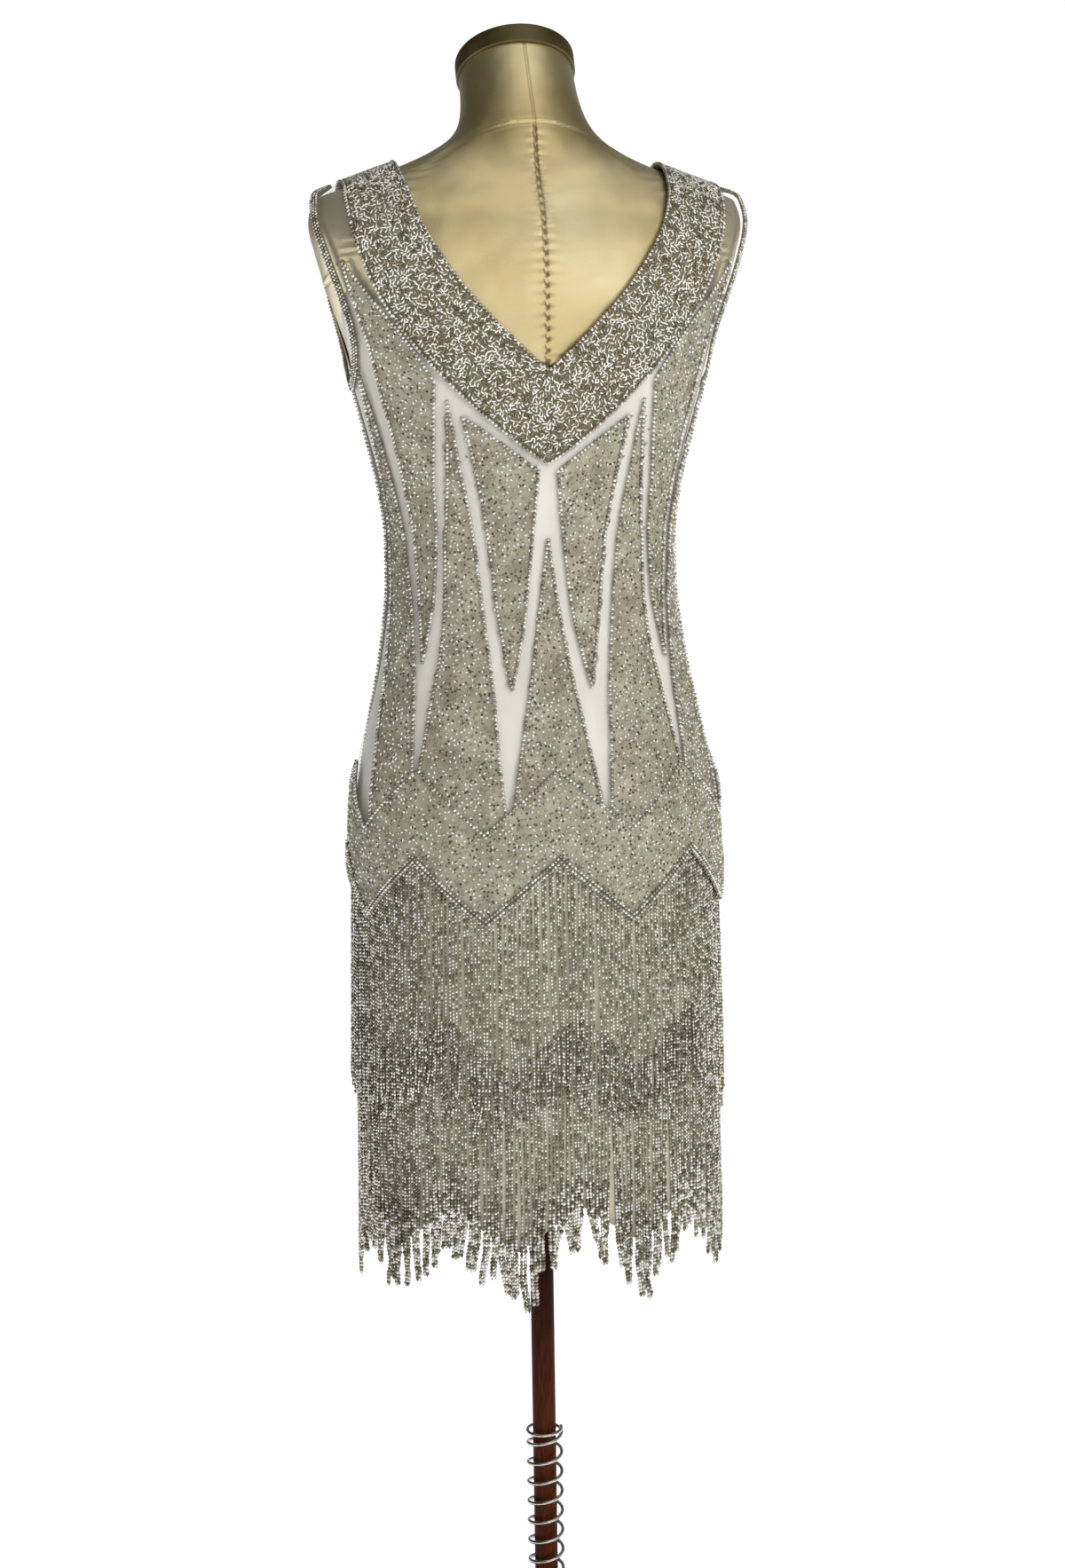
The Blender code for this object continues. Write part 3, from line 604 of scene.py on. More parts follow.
# Waxed linen thread: dull brown with a lighter twist.
thread, *_ = new_finish(
    "waxed_thread", {"Roughness": 0.6}, (2500, 2.0, EVEN), ((0.35, "#5A4A28"), (0.65, "#9A8450"))
)

line = seam_line[(seam_line[:, 2] > 1.20) & (seam_line[:, 2] < NECK_SEAM)]
at = np.arange(0.5, travel(line)[-1] / SEAM_PITCH) * SEAM_PITCH
stitches = at_distance(line, line, at)
stitch_along = unit(at_distance(line, np.gradient(line, axis=0), at))
name, bead = "torso_seam_thread", (STITCH_LENGTH, STITCH_WIDTH)
mesh = points_mesh(name, stitches, stitch_along)
grown(name, mesh, ON_POINTS, thread, "gold_vinyl", seed=1, bead=bead, facets=(6, 5))

# ----------------------------
# The neck cap: a turned wooden disc sprayed dark bronze, screwed on to the neck and tipped forward with
# it. Its rim is rounded.

CAP_RADIUS, CAP_THICKNESS, CAP_TILT = 0.0530, 0.019, math.radians(26)
CAP_CENTRE = Vector((0.0, 0.038, 1.503))

# Bronze spray paint on wood: dark and silky, a little cloudy, greyer where hands have worn it.
bronze, tree, shader, *_ = new_finish(
    "bronze_spray_paint",
    {"Roughness": 0.38, "Metallic": 0.65},
    noise=(35, 3.0, EVEN),
    stops=((0.30, "#4A3D20"), (0.60, "#5C4F2E"), (0.80, "#6E6244")),
)
place = add_node(tree, "ShaderNodeTexCoord").outputs["Object"]
spray = add_node(tree, "ShaderNodeTexNoise", inputs={"Vector": place, "Scale": 900, "Detail": 2.0})
spray = add_node(tree, "ShaderNodeBump", inputs={"Height": spray, "Distance": 0.08 * MM, "Strength": 1.0})
tree.links.new(spray.outputs["Normal"], shader.inputs["Normal"])

rim = [
    (CAP_RADIUS - 4 * MM * (1 - math.sin(t)), CAP_THICKNESS - 4 * MM * (1 - math.cos(t)))
    for t in np.radians(np.arange(0, 91, 15))
]
profile = [(0, CAP_THICKNESS), *rim, (CAP_RADIUS, 1 * MM), (CAP_RADIUS - 1 * MM, 0), (0, 0)]
cap_mesh = turned("neck_cap_disc", profile)
cap_mesh.transform(Matrix.Translation(CAP_CENTRE) @ Matrix.Rotation(-CAP_TILT, 4, "X"))
cap = add_piece("neck_cap_disc", cap_mesh, bronze)
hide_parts("form_neck_cap")

# ----------------------------
# The lining: an ivory satin slip cut as one tube, hemmed, its top edge turned in below the neckline. It
# hangs from the net's seams inside the dress, so it wrinkles softly along its length.

LINING_OUT, LINING_WALL = 1.6 * MM, 1.0 * MM
LINING_HEM, LINING_ROWS = 0.530, 90
LINING_TOP = np.array(((0, 1.200), (30, 1.262), (60, 1.312), (75, 1.285), (90, 1.236)))  # angle, height
WRINKLES = ((14, 42, 5, 0.35 * MM), (30, 55, 6, 0.25 * MM))  # waves round from and to, seed, depth
DEEPEST_WRINKLE = 0.7 * MM


def walled(piece, wall):
    """Makes a sheet of faces a wall of cloth, outwards."""
    solidify = piece.modifiers.new("cloth", "SOLIDIFY")
    solidify.thickness = wall
    solidify.offset = 1
    return piece


# Polyester satin: a smooth off-white with a soft sheen down its length and a thread too fine to see.
satin, *_ = new_finish(
    "ivory_satin",
    {"Roughness": 0.42, "Sheen Weight": 0.25},
    noise=(60, 3.0, (1, 1, 0.12)),
    stops=((0.3, "#D8D7CB"), (0.7, "#E8E7DC")),
    rise=0.6 * MM,
)

angles = np.radians(np.arange(0, 360, 3.0))
from_side = abs(np.degrees(np.arcsin(np.sin(angles))))
top = steady_curve(LINING_TOP[:, 0], LINING_TOP[:, 1])(from_side)
share = np.linspace(0, 1, LINING_ROWS)[:, None]
z = LINING_HEM + (top - LINING_HEM) * share
ripple = sum(wander(len(angles), range(low, high), seed) * depth for low, high, seed, depth in WRINKLES)
drift = ease(0.0, 0.12, share) * (1 - ease(0.96, 1.0, share))
wrinkle = ripple * drift * (0.6 + 0.4 * np.sin(19 * z + 3 * np.sin(2 * angles)))
rows = around(angles[None, :], z, LINING_OUT + np.clip(wrinkle, -DEEPEST_WRINKLE, DEEPEST_WRINKLE))
mesh = mesh_of("lining_slip", rows, grid_faces(*z.shape, closed_round=True))
lining = walled(add_piece("lining_slip", mesh, satin), LINING_WALL)
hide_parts("lining")

# ----------------------------
# The skirt: two panels of champagne net, back and front, hung from inside the bodice's hem. They carry
# the lower fringe and hardly show between its strands.

BACK, FRONT = -1, 1
SKIRT_OUT, NET_WALL = 3.3 * MM, 1.0 * MM
SKIRT_TOP, SKIRT_COLUMNS, SKIRT_ROWS = 0.846, 64, 22
LOWER_POINTS, LOWER_TURN = 9, math.radians(5)  # the lower fringe's points, and how far they are turned
SKIRT_HEM_PEAK, SKIRT_HEM_POINT = 0.515, 0.474  # the net is cut 30 to 45 mm above the fringe's tips
SEAM_ANGLE = math.radians(0.08)  # half of the gap at a side or shoulder seam


def half_angles(side, count):
    """Columns of a panel from its centre line to just short of the right side seam."""
    angles = np.linspace(0, math.pi / 2 - SEAM_ANGLE, count)
    return angles if side == BACK else math.pi - angles


def mirrored(rows):
    """Rows given from the centre line to the +X side, continued over the -X side."""
    return np.concatenate([(rows * (-1, 1, 1))[:, :0:-1], rows], axis=1)


def panel_mesh(name, rows, side):
    return mesh_of(name, rows, grid_faces(*rows.shape[:2], faces_out=side == BACK))


# Nylon net in champagne: a dull beige haze whose mesh is too fine to see at this distance.
skirt_net, *_ = new_finish(
    "champagne_net_backing",
    {"Roughness": 0.7},
    noise=(120, 3.0, (1, 1, 0.3)),
    stops=((0.3, "#9F9985"), (0.7, "#BCB6A3")),
    rise=0.4 * MM,
)


def zigzag(angle, peak, point, points=8, turn=0.0):
    """Height of a zigzag edge with a peak at angle 0, or at turn."""
    phase = ((angle - turn) * points / (2 * math.pi)) % 1.0
    return point + (peak - point) * abs(1 - 2 * phase)


skirts = {}
for name, side in (("skirt_back", BACK), ("skirt_front", FRONT)):
    half = half_angles(side, SKIRT_COLUMNS)
    angles = np.concatenate([-half[:0:-1], half])
    hem = zigzag(angles, SKIRT_HEM_PEAK, SKIRT_HEM_POINT, LOWER_POINTS, LOWER_TURN)
    z = hem + (SKIRT_TOP - hem) * np.linspace(0, 1, SKIRT_ROWS)[:, None]
    rows = around(angles[None, :], z, SKIRT_OUT)
    skirts[side] = add_piece(name + "_net", panel_mesh(name + "_net", rows, side), skirt_net)
    walled(skirts[side], NET_WALL)
    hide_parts(name)

# ----------------------------
# The fringe: two tiers of strands, each a thread strung with cut glass beads and knotted at its end. They
# are sewn along zigzag lines, the lower tier on the skirt and the upper one under the bodice's hem.

# Columns: points round, strands, turn, root at peak, root at point, tips at peak, tips at point, how far
# out the root lies, how far out the tips hang, seed.
FRINGE_TIERS = {
    "fringe_lower": (LOWER_POINTS, 324, LOWER_TURN, 0.684, 0.636, 0.485, 0.430, 4.9 * MM, 6.2 * MM, 8),
    "fringe_upper": (8, 320, 0.0, 0.828, 0.773, 0.622, 0.587, 4.9 * MM, 9.4 * MM, 3),
}
FRINGE_BEAD, FRINGE_BEAD_WIDTH, FRINGE_PITCH = 4.0 * MM, 2.6 * MM, 3.1 * MM
LOOP_WIDTH, MEAN_RADIUS = 2.6 * MM, 0.145
SHORTER, LONGER = -13 * MM, 9 * MM  # how far a tip ends from its place on the zigzag
PULL, LEAN, CURL, TAIL = 0.012, 0.008, 0.006, 0.35 * 0.05  # a strand's swing, in radians round the skirt
THICKER = {"fringe_lower": 0.7, "fringe_upper": 0.1}  # the beads' growth towards a strand's end

# Silver-lined cut glass: each bead one colour at random, from olive brown to white. The near-white beads are
# painted glints and the olive brown ones painted shade, for how their facets lie.
fringe_glass, tree, shader, _, colour = new_finish(
    "silver_lined_fringe_beads",
    {"Roughness": 0.22, "Metallic": 0.8},
    stops=((0.0, "#6B634D"), (0.28, "#9C967F"), (0.50, "#C2BDA8"), (0.62, "#FBF8EC"), (1.0, "#FFFFFF")),
)
place = add_node(tree, "ShaderNodeTexCoord").outputs["Object"]
height = add_node(tree, "ShaderNodeSeparateXYZ", inputs={"Vector": place}).outputs["Z"]
drawn = add_node(tree, "ShaderNodeMapping", inputs={"Vector": place, "Scale": (1, 1, 0.25)})
# Painted light and shade: broad patches, taller than wide, lighten and darken the strands by 0.7 to 1.15.
painted_light_patch = add_node(tree, "ShaderNodeTexNoise", inputs={"Vector": drawn, "Scale": 22, "Detail": 2.0})
painted_light_patch = add_node(tree, "ShaderNodeMapRange", inputs={"Value": painted_light_patch, "To Min": 0.7, "To Max": 1.15})
# Painted shade: the beads darken to three quarters towards the bottom, from 0.56 m down to 0.44 m, at the lower
# tier's ends.
ends = {"Value": height, "From Min": 0.44, "From Max": 0.56, "To Min": 0.75, "To Max": 1.0}
ends = add_node(tree, "ShaderNodeMapRange", inputs=ends)
shade = add_node(tree, "ShaderNodeMath", {"operation": "MULTIPLY"}, {0: painted_light_patch, 1: ends})
toned = add_node(tree, "ShaderNodeVectorMath", {"operation": "SCALE"}, {0: colour, "Scale": shade})
tree.links.new(toned.outputs["Vector"], shader.inputs["Base Color"])

for name, row in FRINGE_TIERS.items():
    points, strands, turn, root_peak, root_point, tip_peak, tip_point, root_out, tip_out, seed = row
    draw = np.random.default_rng(seed)
    angle = 2 * np.pi * (np.arange(strands) + draw.uniform(-0.2, 0.2, strands)) / strands
    root = zigzag(angle, root_peak, root_point, points, turn) + 2 * MM
    tip = zigzag(angle, tip_peak, tip_point, points, turn) + draw.uniform(SHORTER, LONGER, strands)
    # Two strands make a loop: they lie beside each other at its end, and share its length and its lean.
    pair = np.arange(strands) // 2
    loops = pair.max() + 1
    tip = tip[2 * pair]
    centre = np.array([angle[pair == k].mean() for k in range(loops)])[pair]
    beside = np.where(np.arange(strands) % 2, 0.5, -0.5) * LOOP_WIDTH / MEAN_RADIUS
    pull = centre + beside + draw.normal(0, PULL, loops)[pair] - angle
    lean = draw.normal(0, LEAN, loops)[pair]
    depth = draw.uniform(-0.3, 1.6, strands) * MM
    phase, waves = draw.uniform(0, 6.3, loops)[pair], draw.uniform(1.0, 2.6, loops)[pair]
    tail = draw.normal(0, TAIL, loops)[pair]
    spots, directions, sizes = [], [], []
    for i in range(strands):
        count = int((root[i] - tip[i]) / FRINGE_PITCH)
        share = np.linspace(0, 1, count)
        z = root[i] + (tip[i] - root[i]) * share
        curl = CURL * np.sin(waves[i] * 4 * share + phase[i]) * share + tail[i] * ease(0.85, 1.0, share)
        swing = pull[i] * share**5 + lean[i] * share**1.4 + curl
        out = root_out + (tip_out - root_out) * share + depth[i] * np.sqrt(share)
        path = around(angle[i] + swing, z, out)
        spots.append(path)
        directions.append(unit(np.gradient(path, axis=0)))
        sizes.append(draw.uniform(0.85, 1.1, count) * (1 + THICKER[name] * ease(0.60, 0.85, share)))
    beads = grown(
        name + "_strands",
        points_mesh(name, np.concatenate(spots), np.concatenate(directions), np.concatenate(sizes)),
        ON_POINTS,
        fringe_glass,
        "silver_beads",
        seed,
        bead=(FRINGE_BEAD, FRINGE_BEAD_WIDTH),
        facets=(4, 2),
    )
    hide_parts(name)

# ----------------------------
# The bodice: two panels of fine champagne net, back and front, joined at the sides and shoulders. The
# plain net is sheer; the spears, kites and yoke are outlined with beads and filled with rice beads.

LEVEL_TOP, CHEST_LEVELS = 1.135, (1.165, 1.197, 1.230)
UNDERARM = CHEST_LEVELS[-1]
NET_OUT, SHOULDER_OUT, HEM_OUT = 4.6 * MM, 4.0 * MM, 7.4 * MM
STEP = 0.35 * MM
TRIM_WIDTH = 9 * MM
ARMHOLE_BOTTOM, ARMHOLE_TOP, ARMHOLE_HALF_WIDTH, ARMHOLE_ROWS = UNDERARM + TRIM_WIDTH + STEP, 1.396, 0.046, 11
BAND_STEPS, BAND_COLUMNS = 13, 17
BAND_SHOULDER_X, BAND_CENTRE_Z, BAND_CURVE = (0.115, 0.1610), (1.243, 1.166), (0.95, 0.88)
PANEL_SHARE = 1.008  # the panel starts just outside the band
PANEL_COLUMNS, LOW_ROWS, HIGH_STEPS = 49, 84, 5
OUTLINE_LIFT = 1.1 * MM
HEM_PEAK, HEM_POINT = 0.824, 0.769
YOKE_PEAK, YOKE_POINT = 0.903, 0.850


def bodice_out(z):
    """How far out the bodice lies: over the fringe's root at the hem, closest on the shoulders."""
    at_hem, at_shoulder = ease(0.935, 0.855, z), ease(1.32, 1.38, z)
    return NET_OUT + (HEM_OUT - NET_OUT) * at_hem + (SHOULDER_OUT - NET_OUT) * at_shoulder


def over(x, rise, side):
    """Points of the figure above the underarm: in the upright plane at x, at an angle of rise."""
    x, rise = np.broadcast_arrays(np.asarray(x, float), np.asarray(rise, float))
    start = np.stack([x, np.zeros_like(x), np.full_like(x, UNDERARM)], axis=-1)
    direction = np.stack([np.zeros_like(x), side * np.cos(rise), np.sin(rise)], axis=-1)
    near, far = np.zeros_like(x), np.full_like(x, 0.4)
    for _ in range(26):
        middle = (near + far) / 2
        inside = swell(start + direction * middle[..., None]) < 1
        near, far = np.where(inside, middle, near), np.where(inside, far, middle)
    return start + direction * near[..., None]


def root_of(function, low, high):
    """Where a falling function crosses zero, for arrays of brackets."""
    for _ in range(30):
        middle = (low + high) / 2
        falls = function(middle) > 0
        low, high = np.where(falls, middle, low), np.where(falls, high, middle)
    return (low + high) / 2


def band_line(share, side, steps):
    """Points along a line of the neck band, from the centre line to the shoulder seam."""
    reach = BAND_SHOULDER_X[0] + (BAND_SHOULDER_X[1] - BAND_SHOULDER_X[0]) * share
    start = BAND_CENTRE_Z[0] + (BAND_CENTRE_Z[1] - BAND_CENTRE_Z[0]) * share
    power = BAND_CURVE[0] + (BAND_CURVE[1] - BAND_CURVE[0]) * share
    shoulder = over(reach, math.pi / 2, BACK)[..., 2]

    def height(x):
        along = 2 / math.pi * np.arcsin(np.minimum(1.0, x / reach))
        return start + along ** (1 / power) * (shoulder - start)

    first = root_of(lambda r: height(0.0) - over(0.0, r, side)[..., 2], math.radians(-60), math.radians(60))
    rise = first + (math.pi / 2 - SEAM_ANGLE - first) * (steps / BAND_STEPS) ** 0.92
    low, high = np.zeros_like(rise), np.full_like(rise, reach)
    x = root_of(lambda x: over(x, rise, side)[..., 2] - height(x), low, high)
    return over(np.where(steps > 0, x, 0), rise, side)


def armhole_point(turn, side):
    """Points round the armhole's edge, from -90 degrees at the underarm to 90 at the shoulder."""
    y = side * ARMHOLE_HALF_WIDTH * np.cos(turn)
    z = ARMHOLE_BOTTOM + (ARMHOLE_TOP - ARMHOLE_BOTTOM) / 2 * (1 + np.sin(turn))
    half_width, depth, power = section(z, side == BACK)
    x = half_width * np.maximum(0, 1 - (abs(y) / depth) ** power) ** (1 / power)
    return np.stack([x, y, z], axis=-1)


def armhole_edge(turn, side, apart):
    """The armhole's edge, set back along the surface."""
    here, small = armhole_point(turn, side), math.radians(0.5)
    along = armhole_point(turn + small, side) - armhole_point(turn - small, side)
    away = unit(np.cross(along, slope(here)))
    centre = np.array((0.2, 0, (ARMHOLE_BOTTOM + ARMHOLE_TOP) / 2))
    away = away * np.sign(((here - centre) * away).sum(axis=-1))[..., None]
    return settle(here + away * apart, 0.0)


def between(start, end, count):
    """Rows of evenly spaced points of the bodice from one line to another."""
    share = np.linspace(0, 1, count)[None, :, None]
    points = start[:, None] * (1 - share) + end[:, None] * share
    return settle(points, bodice_out(points[..., 2]))


def bodice_rows(side):
    """Half a panel's points: level rows from the hem, then rows from the band's edge to side and armhole."""
    angles = half_angles(side, PANEL_COLUMNS)
    hem = zigzag(angles, HEM_PEAK, HEM_POINT)
    z = hem + (LEVEL_TOP - hem) * np.linspace(0, 1, LOW_ROWS)[:, None]
    rows = around(angles[None, :], z, bodice_out(z))
    steps = np.linspace(0, BAND_STEPS, BAND_STEPS * HIGH_STEPS + 1)
    starts = band_line(PANEL_SHARE, side, steps)
    chest = steps <= 2
    turn = np.minimum(np.radians(-90 + 180 * (steps[~chest] - 2) / ARMHOLE_ROWS), math.radians(89.7))
    ends = around(angles[-1], np.interp(steps[chest], (0, 1, 2), CHEST_LEVELS), 0.0)
    ends = np.concatenate([ends, armhole_edge(turn, side, TRIM_WIDTH + STEP)])
    high = between(starts, ends, PANEL_COLUMNS)
    share = np.linspace(0, 1, 2 * HIGH_STEPS + 1)[1:-1, None, None]
    middle = rows[-1] * (1 - share) + high[0] * share
    middle = settle(middle, bodice_out(middle[..., 2]))
    return np.concatenate([rows, middle, high])


# The pattern of one quarter, mirrored to the rest. Each outline is a list of (degrees from the centre
# back or front, height), laid out in plain spears that rise between kites. Spears end on the yoke's line.
SPEARS = (
    ((0, 1.100), (6.5, 0.995), (11, 0.920), (13.5, 0.871)),
    ((16, 0.865), (20.5, 0.965), (26.5, 1.055), (32, 1.160), (33, 1.219)),
    ((33, 1.219), (41, 1.100), (41, 1.020), (43.5, 0.955), (44.5, 0.902)),
    ((47, 0.898), (50.5, 0.955), (56, 1.020), (62, 1.080), (67.5, 1.150), (69, 1.210), (70, 1.250)),
    ((70, 1.250), (73, 1.215), (78, 1.150), (79.5, 1.100), (78, 1.045), (73, 0.975))
    + ((67, 0.905), (64, 0.858)),
)
KITES = (
    ((3.6, 1.159), (28.5, 1.206), (24, 1.117), (20, 1.040), (14.3, 0.971), (9.5, 1.030), (6.2, 1.100)),
    ((36, 1.236), (43.5, 1.150), (46.5, 1.045), (49.5, 0.994), (54, 1.050), (58.5, 1.140))
    + ((59, 1.220), (57.5, 1.275), (54.5, 1.337)),
)


def finely(corners, closed):
    """A line through corners, in 40 steps from each corner to the next."""
    corners = np.array(corners + corners[:1] if closed else corners, float)
    share = np.linspace(0, 1, 40, endpoint=False)[:, None]
    return np.concatenate([a + (b - a) * share for a, b in zip(corners, corners[1:])] + [corners[-1:]])


def girth(z):
    """Metres round the figure to one degree, for measuring the pattern."""
    half_width, depth, _ = section(z, True)
    return np.radians(1) * (half_width + depth) / 2


degrees = np.linspace(0, 90, 400)
yoke_line = np.stack([degrees, zigzag(np.radians(degrees), YOKE_PEAK, YOKE_POINT)], axis=1)
spear_lines = [finely(s, False) for s in SPEARS]
kite_lines = [finely(k, True) for k in KITES]
BELOW = 0.80  # a spear's outline is closed below the yoke for the inside test
spear_shapes = [
    np.concatenate([[(-1, BELOW), (-1, 1.10)], spear_lines[0], [(13.5, BELOW)]]),
    np.concatenate([spear_lines[1], spear_lines[2], [(44.5, BELOW), (16, BELOW)]]),
    np.concatenate([spear_lines[3], spear_lines[4], [(64, BELOW), (47, BELOW)]]),
]


def is_within(shape, place):
    """Which places lie inside a closed outline, by counting crossings."""
    ends = np.roll(shape, -1, axis=0)
    inside = np.zeros(len(place), bool)
    for (ax, ay), (bx, by) in zip(shape, ends):
        crosses = (ay > place[:, 1]) != (by > place[:, 1])
        inside ^= crosses & (place[:, 0] < ax + (place[:, 1] - ay) * (bx - ax) / (by - ay + 1e-30))
    return inside


def pattern_inside(points):
    """Millimetres from each point to the nearest outline of the pattern; more than 0 where it is filled."""
    x, y, z = points.reshape(-1, 3).T
    half_width, depth, _ = section(z, y < 0)
    degrees = np.degrees(np.arctan2(abs(x) / half_width, abs(y) / depth))
    place = np.stack([degrees, z], axis=1)
    filled = z < zigzag(np.radians(degrees), YOKE_PEAK, YOKE_POINT)
    for shape in spear_shapes + kite_lines:
        filled |= is_within(shape, place)
    lines = np.concatenate([line[::4] for line in spear_lines + kite_lines] + [yoke_line[::4]])
    nearest = np.full(len(place), 1.0)
    for degree, height in lines:
        nearest = np.minimum(nearest, np.hypot((degrees - degree) * girth(z), z - height))
    return np.where(filled, nearest, -nearest) / MM


# Beads on cloth: laid at random where the cloth is filled, never closer than a spacing, and nearly flat.
LEAN_OVER = math.radians(86)
tree, given = new_bead_tree("beads on cloth", "Spacing", "Density", "Margin", "Lift")
inside = add_node(tree, "GeometryNodeInputNamedAttribute", {"data_type": "FLOAT"}, {"Name": "inside"})
wanted = add_node(tree, "ShaderNodeMath", {"operation": "GREATER_THAN"}, {0: inside, 1: given["Margin"]})
spread = {"Mesh": given["Ground"], "Distance Min": given["Spacing"], "Density Max": given["Density"]}
spread |= {"Density Factor": wanted, "Seed": given["Seed"]}
method = {"distribute_method": "POISSON"}
spread = add_node(tree, "GeometryNodeDistributePointsOnFaces", method, spread).outputs
lift = {0: spread["Normal"], "Scale": given["Lift"]}
lift = add_node(tree, "ShaderNodeVectorMath", {"operation": "SCALE"}, lift)
raised = add_node(tree, "GeometryNodeSetPosition", inputs={"Geometry": spread["Points"], "Offset": lift})
ON_CLOTH = lay_beads(tree, given, raised, spread["Rotation"], tip=LEAN_OVER)

# Fine champagne net: where it is plain, a grey veil that lets the lining and the gold form through; under
# the rice beads it is doubled and sewn full, so it is nearly closed. There its darker ground is partly the
# thread and partly painted shade of the beads, and the small dark spots between them are painted shade.
bodice_net, tree, shader, _, ground = new_finish(
    "fine_champagne_net",
    {"Roughness": 0.55},
    noise=(55, 4.0, EVEN),
    stops=((0.25, "#7D7866"), (0.50, "#98937F"), (0.75, "#B2AD99")),
)
inside = add_node(tree, "ShaderNodeAttribute", {"attribute_name": "inside"}).outputs["Fac"]
filled = add_node(tree, "ShaderNodeMapRange", inputs={"Value": inside, "From Min": -1.2, "From Max": -0.2})
place = add_node(tree, "ShaderNodeTexCoord").outputs["Object"]
# Painted shade between the rice beads: dark spots at the middle of cells 3.8 mm across, in some of the cells,
# only where the net is filled.
facets = {"Vector": place, "Scale": 260.0}  # 3.8 mm
facets = add_node(tree, "ShaderNodeTexVoronoi", {"feature": "F1"}, facets)
painted_shade_spots = {"Value": facets.outputs["Distance"], "From Min": 0.33, "From Max": 0.27}
painted_shade_spots = add_node(tree, "ShaderNodeMapRange", inputs=painted_shade_spots)
some = add_node(tree, "ShaderNodeSeparateColor", inputs={"Color": facets.outputs["Color"]}).outputs["Red"]
some = add_node(tree, "ShaderNodeMath", {"operation": "GREATER_THAN"}, {0: some, 1: 0.3})
painted_shade_spots = add_node(tree, "ShaderNodeMath", {"operation": "MULTIPLY"}, {0: painted_shade_spots, 1: some})
painted_shade_spots = add_node(tree, "ShaderNodeMath", {"operation": "MULTIPLY"}, {0: painted_shade_spots, 1: filled})
full = {0: painted_shade_spots, 6: ground, 7: linear("#3F3A2D")}
full = add_node(tree, "ShaderNodeMix", {"data_type": "RGBA"}, full).outputs[2]
veil = {0: filled, 6: linear("#D8D5CC"), 7: full}
veil = add_node(tree, "ShaderNodeMix", {"data_type": "RGBA"}, veil).outputs[2]
tree.links.new(veil, shader.inputs["Base Color"])
cover = add_node(tree, "ShaderNodeMapRange", inputs={"Value": filled, "To Min": 0.10, "To Max": 0.96})
tree.links.new(cover.outputs["Result"], shader.inputs["Alpha"])

# Rice beads of clear glass on a pale thread: small cream beads, each one colour at random, a few much brighter
# than the rest. About a third are painted pure white as painted glints.
rice_glass, *_ = new_finish(
    "clear_rice_beads",
    {"Roughness": 0.18, "Metallic": 0.35},
    stops=((0.0, "#8A846F"), (0.30, "#B4AE99"), (0.52, "#E6E1CE"), (0.66, "#FFFFFF"), (1.0, "#FFFFFF")),
)

# Silver-lined round beads on a cord: bright grey, dark where they meet. Each bead is one colour at random, and
# the palest are painted near white as painted glints.
silver_glass, *_ = new_finish(
    "silver_lined_rope_beads",
    {"Roughness": 0.2, "Metallic": 0.85},
    stops=((0.0, "#8C8779"), (0.45, "#CBC6B8"), (1.0, "#FFFFF8")),
)

ROPE_PITCH, ROPE_BEAD, ROPE_BEAD_WIDTH = 3.7 * MM, 3.5 * MM, 3.7 * MM


def evenly(path, pitch, closed=False):
    """Points a pitch apart along a path, with the direction of the path at each."""
    path = np.concatenate([path, path[:1]]) if closed else path
    length = travel(path)[-1]
    count = max(2, round(length / pitch))
    at = np.linspace(0, length, count + 1)[: -1 if closed else None]
    here, before, after = (at_distance(path, path, at + step) for step in (0, -pitch / 4, pitch / 4))
    return here, unit(after - before + 1e-9)


def string_beads(name, lines, seed, bead=(ROPE_BEAD, ROPE_BEAD_WIDTH)):
    """Round beads strung along lines of points."""
    spots, directions = (np.concatenate(part) for part in zip(*lines))
    mesh = points_mesh(name, spots, directions)
    return grown(name, mesh, ON_POINTS, silver_glass, "silver_beads", seed, bead, facets=(6, 3))


def quarter_path(line, mirror, side):
    """A line of the pattern on the bodice: mirror is 1 on the right and -1 on the left."""
    angle = np.radians(line[:, 0]) * mirror
    angle = angle if side == BACK else math.pi - angle
    return around(angle, line[:, 1], bodice_out(line[:, 1]) + NET_WALL + OUTLINE_LIFT)


bodice_pieces = {}
for name, side in (("bodice_back", BACK), ("bodice_front", FRONT)):
    rows = mirrored(bodice_rows(side))
    mesh = panel_mesh(name + "_net", rows, side)
    fill = mesh.attributes.new("inside", "FLOAT", "POINT")
    fill.data.foreach_set("value", pattern_inside(rows).astype(np.float32))
    rice = grown(
        name + "_rice_beads",
        mesh,
        ON_CLOTH,
        rice_glass,
        "silver_beads",
        seed=11 if side == BACK else 12,
        bead=(4.0 * MM, 2.0 * MM),
        facets=(4, 2),
        Spacing=3.1 * MM,
        Density=90000.0,
        Margin=1.6,
        Lift=NET_WALL + 0.5 * MM,
    )
    panel = walled(add_piece(name + "_net", mesh, bodice_net), NET_WALL)
    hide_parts(name)
    lines = []
    for mirror in (1, -1):
        for line in spear_lines:
            above = line[line[:, 1] > zigzag(np.radians(line[:, 0]), YOKE_PEAK, YOKE_POINT)]
            lines.append(evenly(quarter_path(above, mirror, side), ROPE_PITCH))
        for line in kite_lines:
            lines.append(evenly(quarter_path(line[:-1], mirror, side), ROPE_PITCH, closed=True))
        lines.append(evenly(quarter_path(yoke_line[:-4], mirror, side), ROPE_PITCH))
    ropes = string_beads(name + "_outlines", lines, 21 if side == BACK else 22)
    bodice_pieces[side] = (panel, [rice, ropes])

# ----------------------------
# The hem's rope: two strings of round silver beads laid side by side along the zigzag hem and sewn down.
# They stand proud of the net and cover the root of the upper fringe.

HEM_ROPE_WIDTH, BAND_WALL = 8 * MM, 2.0 * MM
hem_out = HEM_OUT + NET_WALL + STEP

# Rope tape: a narrow strip of firm net that the beads are sewn on, brownish grey in their shade.
tape_net, *_ = new_finish(
    "rope_tape_net", {"Roughness": 0.7}, (400, 2.0, EVEN), ((0.3, "#5E5846"), (0.7, "#857E68")), 0.2 * MM
)

